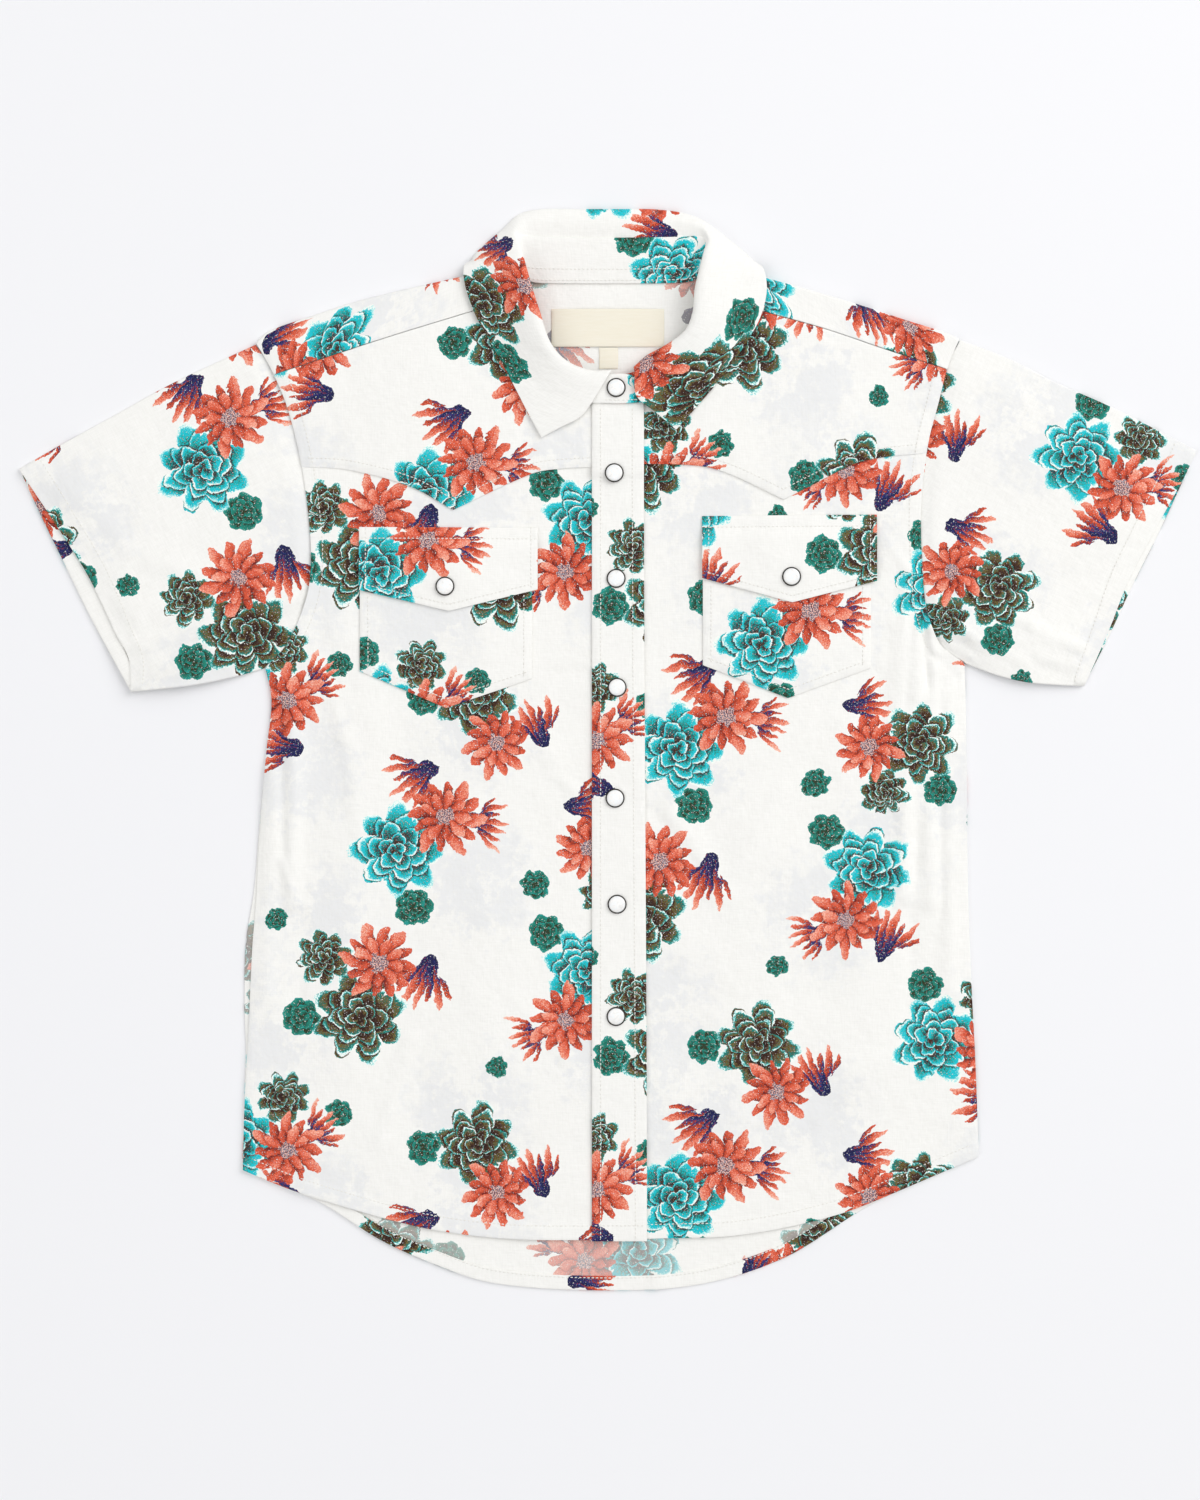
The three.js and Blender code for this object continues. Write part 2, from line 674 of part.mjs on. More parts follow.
// Collar. Each row is a section of the collar round the neck: b is the stand's sewn edge, s the seam
// at the stand's top, o the leaf's turn or shoulder on the way out and e its free edge. lip is how
// far the roll stands inside the seam (negative where the leaf runs on past it, as at the back, where
// it lies flat and turns under) and high is the height of the roll. Rows with no leaf are the stand's
// two overlapping front ends.
const collar = [
  { bx: 16.9, by: 168.4, bz: 5.7, sx: 14.6, sy: 180.8, sz: 5.75 },
  { bx: 9.0, by: 167.9, bz: 5.7, sx: 8.6, sy: 182.6, sz: 5.8 },
  { bx: 1.0, by: 167.9, bz: 5.7, sx: 1.0, sy: 182.4, sz: 5.8, ox: -13, oy: 161.6, oz: 6.4, ex: -32.2, ey: 151.4, ez: 4.8, lip: 1.2, high: 8.0 },
  { bx: -11.0, by: 168.6, bz: 5.0, sx: -10.0, sy: 182.8, sz: 5.8, ox: -27.0, oy: 170.4, oz: 6.0, ex: -38.6, ey: 163.0, ez: 4.8, lip: 1.2, high: 8.2 },
  { bx: -27.0, by: 174.0, bz: 4.5, sx: -21.6, sy: 187.6, sz: 6.8, ox: -38.5, oy: 182.0, oz: 6.2, ex: -47.6, ey: 180.6, ez: 4.8, lip: 1.2, high: 9.6 },
  { bx: -41.0, by: 185.6, bz: 4.5, sx: -29.2, sy: 196.2, sz: 8.6, ox: -46.5, oy: 196.0, oz: 6.8, ex: -56.2, ey: 196.4, ez: 4.9, lip: 1.2, high: 11.4 },
  { bx: -48.6, by: 202.0, bz: 4.5, sx: -34.4, sy: 211.4, sz: 10.0, ox: -53.5, oy: 211.0, oz: 7.2, ex: -64.5, ey: 211.5, ez: 5.0, lip: 1.1, high: 12.8 },
  { bx: -51.6, by: 218.0, bz: 4.4, sx: -38.4, sy: 224.0, sz: 10.6, ox: -57.5, oy: 225.0, oz: 7.4, ex: -69.2, ey: 225.5, ez: 5.0, lip: 1.1, high: 13.4 },
  { bx: -49.0, by: 229.6, bz: 4.6, sx: -41.0, sy: 234.0, sz: 10.4, ox: -58.5, oy: 234.6, oz: 7.2, ex: -69.8, ey: 233.6, ez: 4.9, lip: 0.9, high: 12.8 },
  { bx: -44.6, by: 231.2, bz: 4.0, sx: -42.4, sy: 241.0, sz: 9.0, ox: -65.4, oy: 239.2, oz: 2.2, ex: -60.5, ey: 237.0, ez: 0.5, lip: 0.4, high: 10.6 },
  { bx: -40.6, by: 228.8, bz: 2.8, sx: -43.0, sy: 246.2, sz: 6.8, ox: -58.5, oy: 246.0, oz: 2.0, ex: -52.6, ey: 240.4, ez: 0.5, lip: -0.8, high: 7.8 },
  { bx: -37.4, by: 227.4, bz: 2.1, sx: -42.6, sy: 249.2, sz: 5.2, ox: -50.8, oy: 252.6, oz: 1.9, ex: -46.0, ey: 239.6, ez: 0.5, lip: -1.8, high: 5.8 },
  { bx: -34.0, by: 226.8, bz: 1.9, sx: -39.6, sy: 249.6, sz: 4.2, ox: -43.2, oy: 259.6, oz: 1.9, ex: -40.6, ey: 238.6, ez: 0.5, lip: -3.0, high: 4.4 },
  { bx: -28.0, by: 226.6, bz: 1.9, sx: -32.0, sy: 249.4, sz: 3.4, ox: -33.0, oy: 262.0, oz: 1.9, ex: -32.0, ey: 238.0, ez: 0.5, lip: -4.0, high: 3.7 },
  { bx: -12.0, by: 226.5, bz: 1.9, sx: -14.0, sy: 249.0, sz: 3.1, ox: -14.0, oy: 262.1, oz: 1.9, ex: -14.0, ey: 237.6, ez: 0.5, lip: -4.0, high: 3.5 },
  { bx: 4.0, by: 226.5, bz: 1.9, sx: 4.0, sy: 249.0, sz: 3.1, ox: 4.0, oy: 262.1, oz: 1.9, ex: 4.0, ey: 237.6, ez: 0.5, lip: -4.0, high: 3.5 },
  { bx: 20.0, by: 226.6, bz: 1.9, sx: 22.0, sy: 249.2, sz: 3.1, ox: 22.0, oy: 262.0, oz: 1.9, ex: 21.0, ey: 237.8, ez: 0.5, lip: -4.0, high: 3.5 },
  { bx: 34.0, by: 226.9, bz: 1.9, sx: 37.0, sy: 249.4, sz: 3.6, ox: 37.4, oy: 260.0, oz: 1.9, ex: 36.0, ey: 238.4, ez: 0.5, lip: -3.6, high: 3.9 },
  { bx: 39.6, by: 227.4, bz: 2.0, sx: 44.6, sy: 249.4, sz: 4.4, ox: 46.4, oy: 256.4, oz: 1.9, ex: 44.4, ey: 239.2, ez: 0.5, lip: -2.0, high: 4.8 },
  { bx: 43.6, by: 228.8, bz: 2.8, sx: 47.6, sy: 246.8, sz: 6.4, ox: 57.0, oy: 248.6, oz: 2.0, ex: 52.8, ey: 240.6, ez: 0.5, lip: -0.8, high: 7.4 },
  { bx: 47.0, by: 231.4, bz: 4.0, sx: 47.0, sy: 240.6, sz: 9.0, ox: 68.0, oy: 239.4, oz: 2.2, ex: 62.5, ey: 237.2, ez: 0.5, lip: 0.4, high: 10.6 },
  { bx: 51.0, by: 230.0, bz: 4.6, sx: 45.4, sy: 232.4, sz: 10.4, ox: 64.0, oy: 233.4, oz: 7.2, ex: 75.4, ey: 232.4, ez: 4.9, lip: 0.9, high: 12.8 },
  { bx: 54.6, by: 219.0, bz: 4.4, sx: 43.2, sy: 221.8, sz: 10.6, ox: 64.0, oy: 222.6, oz: 7.4, ex: 76.8, ey: 223.0, ez: 5.0, lip: 1.1, high: 13.4 },
  { bx: 53.4, by: 203.0, bz: 4.5, sx: 42.2, sy: 210.6, sz: 10.0, ox: 61.0, oy: 208.6, oz: 7.2, ex: 73.8, ey: 210.0, ez: 5.0, lip: 1.1, high: 12.8 },
  { bx: 45.6, by: 187.0, bz: 4.5, sx: 38.6, sy: 202.0, sz: 8.6, ox: 56.0, oy: 195.4, oz: 6.8, ex: 66.4, ey: 196.6, ez: 4.9, lip: 1.2, high: 11.4 },
  { bx: 31.6, by: 175.0, bz: 4.4, sx: 29.6, sy: 195.0, sz: 6.4, ox: 45.0, oy: 182.6, oz: 6.2, ex: 55.0, ey: 180.6, ez: 4.8, lip: 1.2, high: 9.8 },
  { bx: 20.0, by: 169.8, bz: 4.4, sx: 19.6, sy: 189.4, sz: 4.9, ox: 32.0, oy: 172.0, oz: 6.2, ex: 43.0, ey: 166.4, ez: 4.8, lip: 1.3, high: 8.6 },
  { bx: 12.4, by: 168.0, bz: 4.4, sx: 12.8, sy: 183.9, sz: 4.4, ox: 13.6, oy: 171.4, oz: 7.4, ex: 33.0, ey: 155.2, ez: 4.8, lip: 1.2, high: 8.2 },
  { bx: 3.0, by: 167.9, bz: 4.4, sx: 3.4, sy: 182.2, sz: 4.4 },
  { bx: -5.8, by: 168.3, bz: 4.4, sx: -4.0, sy: 181.0, sz: 4.4 },
];
const v3 = (x, y, z) => new THREE.Vector3(x, y, z);
function smooth(controls, each) {
  const curve = new THREE.CatmullRomCurve3(controls, false, "centripetal");
  const spans = controls.length - 1;
  const out = [];
  for (let k = 0; k < spans; k++) for (let i = 0; i < each[k]; i++) out.push(curve.getPoint((k + i / each[k]) / spans));
  out.push(controls[spans].clone());
  return out;
}
const standRows = collar.map((r) => {
  const base = v3(r.bx, r.by, r.bz);
  const top = v3(r.sx, r.sy, r.sz);
  return [0, 0.34, 0.67, 1].map((t) => {
    const p = base.clone().lerp(top, t);
    if (t === 1) p.add(base.clone().sub(top).setLength(2.5 * GAP));
    return p;
  });
});
sheet("collar_stand", standRows);

const leafRows = collar
  .filter((r) => r.ox !== undefined)
  .map((r) => {
    const out = v3(r.ox - r.sx, r.oy - r.sy, 0).normalize();
    const at = (d, z) => v3(r.sx + out.x * d, r.sy + out.y * d, z);
    const crest = r.lip < 0 ? -2 * r.lip : 1.6;
    const under = r.ez < 1;
    const turn = v3(r.ox, r.oy, r.oz);
    const edge = v3(r.ex, r.ey, r.ez);
    const home = edge.clone().sub(turn).setZ(0).normalize();
    const after = under
      ? v3(r.ox + home.x * 2.2, r.oy + home.y * 2.2, r.ez)
      : turn.clone().lerp(edge, 0.5);
    return smooth([at(0, r.sz), at(-r.lip, (r.sz + r.high) / 2), at(crest, r.high), turn, after, edge], [1, 2, 3, 2, 2]);
  });
sheet("collar_leaf", leafRows);

// Labels, blank, on the inside of the back yoke.

const block = (x0, x1, y0, y1) =>
  [y0, y1].map((y) => [x0, x1].map((x) => v3(x, y, FLOOR + STEP)));
sheet("neck_label", block(LABEL.x - LABEL.wide / 2, LABEL.x + LABEL.wide / 2, LABEL.y - LABEL.tall / 2, LABEL.y + LABEL.tall / 2));
sheet("size_tag", block(TAG.x - TAG.wide / 2, TAG.x + TAG.wide / 2, TAG.top - TAG.tall, TAG.top));

// Snaps: a domed cap in a thin ring, each a piece of its own.

const snaps = [
  { name: "collar", x: 3.9, y: 175.4, on: () => 5.8 },
  { name: "1", x: 3.0, y: 134.3, on: bandHeight },
  { name: "2", x: 3.9, y: 83.2, on: bandHeight },
  { name: "3", x: 4.4, y: 30.4, on: bandHeight },
  { name: "4", x: 3.4, y: -23.3, on: bandHeight },
  { name: "5", x: 4.4, y: -74.7, on: bandHeight },
  { name: "6", x: 3.9, y: -129.1, on: bandHeight },
  { name: "flap_left", x: -78.9, y: 79.3, on: flapHeight },
  { name: "flap_right", x: 88.8, y: 84.0, on: flapHeight },
];
for (const s of snaps) {
  let seat = 0;
  for (let k = 0; k < 16; k++) {
    const a = (k / 16) * 2 * Math.PI;
    for (const r of [0, SNAP.ringOut + 1.5]) seat = Math.max(seat, s.on(s.x + r * Math.cos(a), s.y + r * Math.sin(a)));
  }
  seat += CLOTH / 2 + GAP;
  const dome = [
    [0, 0],
    [SNAP.cap, 0.2],
    [SNAP.cap - 0.25, 0.85],
    [SNAP.cap * 0.62, SNAP.capTall - 0.2],
    [0, SNAP.capTall],
  ];
  const rim = [
    [SNAP.ringIn, 0],
    [SNAP.ringOut, 0.1],
    [SNAP.ringOut - 0.2, SNAP.ringTall],
    [SNAP.ringIn, SNAP.ringTall],
    [SNAP.ringIn, 0],
  ];
  for (const [kind, profile] of [["snap_cap_", dome], ["snap_ring_", rim]]) {
    const points = profile.map(([r, z]) => new THREE.Vector2(r, z));
    const geometry = new THREE.LatheGeometry(points, SNAP.sides);
    geometry.rotateX(Math.PI / 2);
    geometry.translate(s.x, s.y, seat);
    addMesh(kind + s.name, geometry);
  }
}

// The origin goes under the middle of the whole.

const box = new THREE.Box3().setFromObject(shirt);
const middle = box.getCenter(new THREE.Vector3());
shirt.position.set(-middle.x, -middle.y, -box.min.z);

export default shirt;
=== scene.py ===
import math

import bmesh
import bpy
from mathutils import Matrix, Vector, noise


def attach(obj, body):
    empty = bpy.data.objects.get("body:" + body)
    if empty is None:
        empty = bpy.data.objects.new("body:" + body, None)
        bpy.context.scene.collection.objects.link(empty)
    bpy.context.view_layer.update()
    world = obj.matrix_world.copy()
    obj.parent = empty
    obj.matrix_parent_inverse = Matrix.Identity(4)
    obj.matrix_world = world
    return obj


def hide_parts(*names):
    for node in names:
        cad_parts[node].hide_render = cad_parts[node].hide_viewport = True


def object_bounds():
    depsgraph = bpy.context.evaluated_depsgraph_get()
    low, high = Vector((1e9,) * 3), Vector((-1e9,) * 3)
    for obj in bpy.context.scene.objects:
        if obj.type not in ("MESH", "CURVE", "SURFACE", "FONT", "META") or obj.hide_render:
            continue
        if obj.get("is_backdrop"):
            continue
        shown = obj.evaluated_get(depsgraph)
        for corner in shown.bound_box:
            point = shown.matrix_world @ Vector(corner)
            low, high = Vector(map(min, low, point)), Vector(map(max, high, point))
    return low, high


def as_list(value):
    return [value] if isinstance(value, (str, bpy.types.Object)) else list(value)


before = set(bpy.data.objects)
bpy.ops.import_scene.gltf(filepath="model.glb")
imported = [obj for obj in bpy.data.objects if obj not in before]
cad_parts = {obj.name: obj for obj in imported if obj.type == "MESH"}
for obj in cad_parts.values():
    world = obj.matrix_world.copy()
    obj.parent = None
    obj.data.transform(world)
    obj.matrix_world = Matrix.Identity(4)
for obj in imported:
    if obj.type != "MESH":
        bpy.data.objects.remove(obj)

cadLow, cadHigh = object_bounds()

# Lengths are in millimetres and are turned into metres where a mesh is made, except on the stage at
# the end, which is in metres. The tables of outlines, folds and collar sections are those of the CAD
# part, so each sheet lies on its solid.
mm = 0.001
cloth = {
    "originX": 0.010,  # where the CAD part's own middle put the origin
    "originY": -0.036,
    "thick": 0.7,
    "firm": 1.0,  # collar, two layers with interfacing
    "layer": 1.3,  # from the middle of one layer to the middle of the next
    "floor": 0.5,
    "turn": 1.3,  # radius of the shoulder fold
    "sleeveTurn": 0.55,
    "tuck": 8.0,  # front panel hidden under the pointed yoke
    "sink": 0.5,  # how far a sewn edge is pressed down
    "hem": 0.62,  # from the middle of a panel to the middle of its turned edge
    "calm": 178.0,  # the front lies smooth beyond this far from the middle
    "fade": 9.0,
}
# How far each row of stitches lies from its edge.
sewing = {
    "hem": 6.8,
    "backHem": 6.2,
    "backSeam": 2.2,
    "arm": 5.6,
    "yoke": 4.5,
    "bandLeft": 4.2,
    "bandRight": 5.6,
    "bandLow": 7.6,
    "pocket": 4.0,
    "flap": 3.2,
    "flapTop": 5.5,
    "cuff": 9.5,
    "cuffInside": 8.6,
    "leaf": 5.0,
    "leafFront": 4.6,
}
stitch = {
    "pitch": 2.05,
    "long": 1.55,
    "wide": 0.54,
    "tall": 0.30,
    "rise": 0.06,
    "sunk": -0.10,
    "sides": 5,
    "profile": [(-0.5, 0.0), (-0.30, 0.85), (0.0, 1.0), (0.30, 0.85), (0.5, 0.0)],  # length, width
}


def mix(a, b, t):
    return a + (b - a) * t


def ease(t):
    s = min(1.0, max(0.0, t))
    return s * s * (3 - 2 * s)


def bell(d, wide):
    return math.exp(-((d / wide) ** 2))


def hermiteAt(rows, at):
    # A smooth curve through (at, value, sharp) rows. A sharp row is a corner.
    n = len(rows)

    def slope(i, j):
        return (rows[j][1] - rows[i][1]) / (rows[j][0] - rows[i][0])

    def tangent(i, side):
        if i == 0:
            return slope(0, 1)
        if i == n - 1:
            return slope(n - 2, n - 1)
        if rows[i][2]:
            return slope(i - 1, i) if side < 0 else slope(i, i + 1)
        return slope(i - 1, i + 1)

    i = 0
    while i < n - 2 and at > rows[i + 1][0]:
        i += 1
    span = rows[i + 1][0] - rows[i][0]
    t = (at - rows[i][0]) / span
    a, b = tangent(i, 1) * span, tangent(i + 1, -1) * span
    p, q = rows[i][1], rows[i + 1][1]
    return p + a * t + (3 * (q - p) - 2 * a - b) * t * t + (2 * (p - q) + a + b) * t ** 3


def through(rows, start=0, end=1):
    # The smooth curve through table rows (x, y, sharp), as a function of column start.
    table = sorted((r[start], r[end], len(r) > 2) for r in rows)
    low, high = table[0][0], table[-1][0]
    steps = max(60, int((high - low) * 3))
    held = [hermiteAt(table, mix(low, high, k / steps)) for k in range(steps + 1)]

    def value(at):
        f = (at - low) / (high - low) * steps
        if f <= 0:
            return held[0]
        if f >= steps:
            return held[-1]
        k = int(f)
        return mix(held[k], held[k + 1], f - k)

    return value


def catmull(points, t):
    # A point on the centripetal curve through 2-D or 3-D points, t counted in spans.
    k = min(len(points) - 2, max(0, int(t)))
    p1, p2 = Vector(points[k]), Vector(points[k + 1])
    p0 = Vector(points[k - 1]) if k else p1 * 2 - p2
    p3 = Vector(points[k + 2]) if k + 2 < len(points) else p2 * 2 - p1
    a, b, c = (max(1e-4, (q - p).length ** 0.5) for p, q in ((p0, p1), (p1, p2), (p2, p3)))
    t1 = ((p1 - p0) / a - (p2 - p0) / (a + b) + (p2 - p1) / b) * b
    t2 = ((p2 - p1) / b - (p3 - p1) / (b + c) + (p3 - p2) / c) * b
    s = t - k
    s2, s3 = s * s, s * s * s
    return p1 * (2 * s3 - 3 * s2 + 1) + t1 * (s3 - 2 * s2 + s) + p2 * (3 * s2 - 2 * s3) + t2 * (s3 - s2)


def path(rows):
    # A path in plan through table rows, by the share of its length.
    points = [(r[0], r[1]) for r in rows]
    steps = 40 * (len(points) - 1)
    held = [catmull(points, (len(points) - 1) * k / steps) for k in range(steps + 1)]
    run = [0.0]
    for p, q in zip(held, held[1:]):
        run.append(run[-1] + (q - p).length)

    def value(t):
        goal = min(1.0, max(0.0, t)) * run[-1]
        low, high = 0, steps
        while high - low > 1:
            k = (low + high) // 2
            low, high = (k, high) if run[k] <= goal else (low, k)
        return held[low].lerp(held[high], (goal - run[low]) / max(1e-9, run[high] - run[low]))

    return value


def shares(breaks, counts):
    # Shares from 0 to 1 that stop at each break, with a count of steps for each stretch.
    out = [breaks[0]]
    for k, n in enumerate(counts):
        out += [mix(breaks[k], breaks[k + 1], i / n) for i in range(1, n + 1)]
    return out


# Outlines in plan, (x, y) with "sharp" at a corner.
armLeft = [
    (-170.5, 197.0),
    (-163.2, 184.3),
    (-155.7, 166.4),
    (-149.9, 143.6),
    (-146.2, 121.0),
    (-144.2, 97.5),
    (-145.0, 80.0),
    (-149.4, 65.0),
    (-157.0, 50.0),
    (-166.4, 40.2, "sharp"),
]
armRight = [
    (170.3, 199.3),
    (164.9, 185.8),
    (160.2, 168.0),
    (155.6, 150.0),
    (152.6, 127.6),
    (151.8, 112.0),
    (152.6, 90.0),
    (154.4, 70.0),
    (161.0, 51.5),
    (173.0, 42.2, "sharp"),
]
sideLeft = [
    (-163.4, 24.2),
    (-165.8, 0.0),
    (-169.4, -43.6),
    (-170.9, -72.8),
    (-172.8, -97.0),
    (-174.3, -130.9),
    (-176.4, -169.8),
    (-177.3, -203.7),
]
sideRight = [
    (173.6, 26.0),
    (174.2, -10.7),
    (174.8, -67.9),
    (176.5, -114.0),
    (178.4, -152.0),
    (180.0, -197.4),
]
peekLeft = [(0, 45), (0.3, -20), (1.0, -62), (3.2, -92), (2.6, -125), (0.6, -150), (0.4, -203)]
frontHem = [
    (-178.5, -203.4),
    (-159.1, -211.5),
    (-138.7, -218.4),
    (-94.1, -230.9),
    (-55.3, -236.7),
    (-7.8, -237.8),
    (31.0, -236.9),
    (58.2, -236.0),
    (85.8, -231.8),
    (113.0, -225.0),
    (138.7, -214.9),
    (181.0, -197.0),
]
backHem = [
    (-178.5, -203.4),
    (-159.1, -211.8),
    (-139.7, -219.8),
    (-111.1, -237.7),
    (-86.8, -248.8),
    (-56.7, -258.8),
    (-2.9, -262.5),
    (44.6, -259.6),
    (85.8, -246.6),
    (123.7, -223.1),
    (138.7, -215.4),
    (181.0, -197.0),
]
yokeEdgeLeft = [
    (-150.0, 137.4),
    (-125.6, 135.8),
    (-95.5, 127.6),
    (-75.2, 116.4, "sharp"),
    (-37.3, 133.9),
    (-23.3, 136.4),
    (-2.0, 137.4),
]
yokeEdgeRight = [
    (-2.0, 138.8),
    (17.0, 138.8),
    (46.0, 137.6),
    (60.6, 133.2),
    (85.2, 121.4, "sharp"),
    (98.0, 128.0),
    (123.2, 140.0),
    (155.0, 144.2),
]
shoulderSeamLeft = [
    (-163.0, 181.6),
    (-137.0, 190.2),
    (-107.7, 199.8),
    (-66.9, 212.4),
    (-50.0, 217.6, "sharp"),
]
shoulderSeamRight = [
    (55.0, 219.0, "sharp"),
    (77.4, 212.1),
    (106.7, 203.7),
    (136.3, 193.6),
    (165.0, 184.4),
]
neckLeft = [(-46.0, 202.0), (-38.0, 187.0), (-25.0, 176.0), (-10.0, 171.2), (-2.0, 170.4)]
neckRight = [(-2.0, 170.4), (15.0, 171.0), (30.0, 176.4), (43.0, 188.0), (51.0, 203.0)]
shoulderFold = [
    (-172.0, 196.6),
    (-164.9, 203.0),
    (-145.0, 210.2),
    (-120.3, 218.2),
    (-75.2, 228.9),
    (-50.0, 233.8, "sharp"),
    (-44.0, 230.8),
    (-35.0, 229.2),
    (0.0, 229.0),
    (37.0, 229.2),
    (46.0, 231.0),
    (52.0, 234.4, "sharp"),
    (77.6, 228.9),
    (119.8, 216.8),
    (145.5, 208.4),
    (164.5, 202.4),
    (171.5, 199.0),
]
backSeam = [(-156, 152), (-80, 150), (0, 138), (80, 150), (158, 152)]
band = {"left": -7.8, "right": 17.4, "lowRight": 18.9, "top": 167.4, "low": -238.2,
        "under": 5.0, "overlap": 1.3, "pucker": 5.0}
pockets = {
    "left": {"x0": -120.4, "x1": -36.8, "top0": 91, "top1": 91,
             "side0": 38.3, "side1": 34.6, "tipX": -78.6, "tipY": 20.4, "shift": (-64, 20)},
    "right": {"x0": 46.0, "x1": 127.5, "top0": 96, "top1": 96,
              "side0": 41.2, "side1": 39.8, "tipX": 87.3, "tipY": 25.2, "shift": (30, -88)},
}
flaps = {
    "left": {"x0": -120.8, "x1": -34.1, "top0": 108.2, "top1": 107.8,
             "side0": 77.6, "side1": 77.8, "tipX": -77.0, "tipY": 67.3, "pocketTop": 104, "shift": (11, 96)},
    "right": {"x0": 45.6, "x1": 130.4, "top0": 113.5, "top1": 114.2,
              "side0": 83.4, "side1": 82.0, "tipX": 89.2, "tipY": 71.5, "pocketTop": 109, "shift": (-46, 6)},
}

# Soft ridges, or troughs where high is negative, from one end to the other: x0, y0, x1, y1, wide,
# high. The first group is the CAD part's, and the creases are finer ones that it leaves out.
folds = [
    (146, 84, 144, -70, 5.0, 2.0),
    (155, 62, 156.5, -74, 4.2, 1.7),
    (165, 26, 166.5, -118, 4.5, 1.3),
    (150, 74, 156, 30, 3.5, -1.2),
    (-154, 22, -152, -74, 5.0, 1.9),
    (-162, -10, -166, -120, 4.5, 1.2),
    (-34, 4, -17, -18, 5.0, 1.0),
    (32, -34, 54, -68, 7.0, 1.3),
    (-118, 8, -128, -150, 16, 1.1),
    (116, 4, 122, -150, 18, 1.1),
    (-62, 10, -60, -170, 20, 0.9),
    (70, 10, 74, -170, 20, 0.9),
    (-90, 170, -70, 60, 30, 0.9),
    (100, 170, 84, 60, 30, 0.9),
    (-240, 66, -150, 72, 6.0, 1.0),
    (-178, 62, -146, 84, 5.0, 0.9),
    (-268, 120, -180, 150, 16, 1.0),
    (228, 50, 158, 60, 5.0, 1.0),
    (262, 118, 178, 148, 16, 1.0),
]
creases = [
    (147.7, 82, 144.4, 20, 2.0, -1.1),
    (150.9, 66, 150.2, -30, 1.9, 0.9),
    (153.2, 70, 155.4, 30, 1.4, -1.1),
    (156.6, 60, 159.6, 4, 1.8, 0.8),
    (157, 46, 169.6, 35.3, 1.3, -0.8),
    (160.5, 39, 168, 37, 1.5, 0.5),
    (151.0, 20, 149.0, -60, 2.2, -0.9),
    (161.0, 10, 161.6, -80, 2.0, -0.8),
    (147.5, -40, 146.0, -140, 3.2, -0.8),
    (139.0, 60, 137.0, -20, 4.0, 0.7),
    (-158.2, -54, -153.5, -68, 1.6, 0.9),
    (-158.8, 20, -157.6, -50, 2.0, -0.9),
    (-153.6, 24, -150.4, -30, 2.2, 0.8),
    (-148.0, -20, -150.0, -120, 3.4, -0.8),
    (-138.0, 40, -128.0, 6, 4.0, 0.8),
    (-141.0, 66, -134.0, 30, 3.0, -0.6),
    (-126.0, 6, -121.0, -40, 4.5, 0.7),
    (-23.5, -8, -9.5, -21, 1.8, -0.9),
    (20, -27, 44, -58, 2.2, -0.8),
    (-232, 48, -198, 56.6, 2.4, 1.0),
    (-198, 56.6, -172, 76, 2.6, 1.1),
    (-172, 76, -147, 88, 2.4, 1.1),
    (-219, 37, -194, 48.4, 2.2, 1.0),
    (-194, 48.4, -153, 72.6, 2.0, 1.2),
    (-205, 48, -166, 69, 1.8, -0.8),
    (-194.5, 38.6, -172, 46.9, 1.9, 0.9),
    (-172, 46.9, -153, 57, 1.6, 1.1),
    (-186, 39.5, -160, 49.5, 1.5, -0.7),
    (-178.5, 49, -161, 58.4, 1.6, -0.9),
    (-232, 53, -200, 62, 2.6, -0.7),
    (-222, 92, -196, 84, 5.0, 0.8),
    (-250, 120, -232, 96, 5.0, 0.6),
    (167, 85, 205, 60, 3.0, 1.0),
    (205, 60, 229, 49.5, 2.6, 1.0),
    (158, 80, 196, 58, 2.4, -0.8),
    (156, 70, 176, 55, 1.9, 1.1),
    (176, 55, 205, 40, 2.2, 0.9),
    (157, 62, 178, 47, 1.5, -0.9),
    (205, 41, 226, 34, 1.5, -0.9),
    (208, 46, 228, 40, 1.8, 0.8),
    (200, 74, 170, 96, 4.0, 0.8),
    (246, 110, 226, 92, 5.0, 0.6),
    (-135, 118, -118, 112, 2.2, 0.7),
    (136, 100, 148, 84, 2.4, 0.8),
    (-46, -120, -20, -150, 3.0, 0.7),
    (30, -170, 52, -130, 3.2, 0.7),
    (-110, -190, -96, -140, 4.0, 0.8),
    (100, -180, 128, -150, 4.0, 0.8),
    (62, -58, 84, -20, 5.0, 0.7),
    (-96, -64, -70, -30, 5.0, 0.6),
    (40, 8, 30, -30, 3.6, 0.7),
]

# The back lies on the floor, so its own creases stand up between the layers.
backCreases = [
    (-120, 120, -60, 40, 5.0, 0.45),
    (-40, 60, -70, -40, 6.0, 0.40),
    (60, 128, 110, 52, 5.0, 0.45),
    (30, 20, 52, -60, 6.0, 0.40),
    (-140, -60, -110, -160, 5.0, 0.45),
    (122, -40, 96, -150, 6.0, 0.40),
    (-30, -110, 10, -200, 5.5, 0.35),
    (-150, 60, -120, 10, 3.5, 0.40),
    (150, 70, 126, 12, 3.5, 0.40),
    (-130, 186, -60, 168, 4.0, 0.35),
    (70, 190, 136, 166, 4.0, 0.35),
    (-250, 60, -170, 96, 4.0, 0.50),
    (-260, 118, -186, 158, 6.0, 0.50),
    (248, 66, 176, 92, 4.0, 0.50),
    (262, 128, 184, 164, 6.0, 0.50),
]


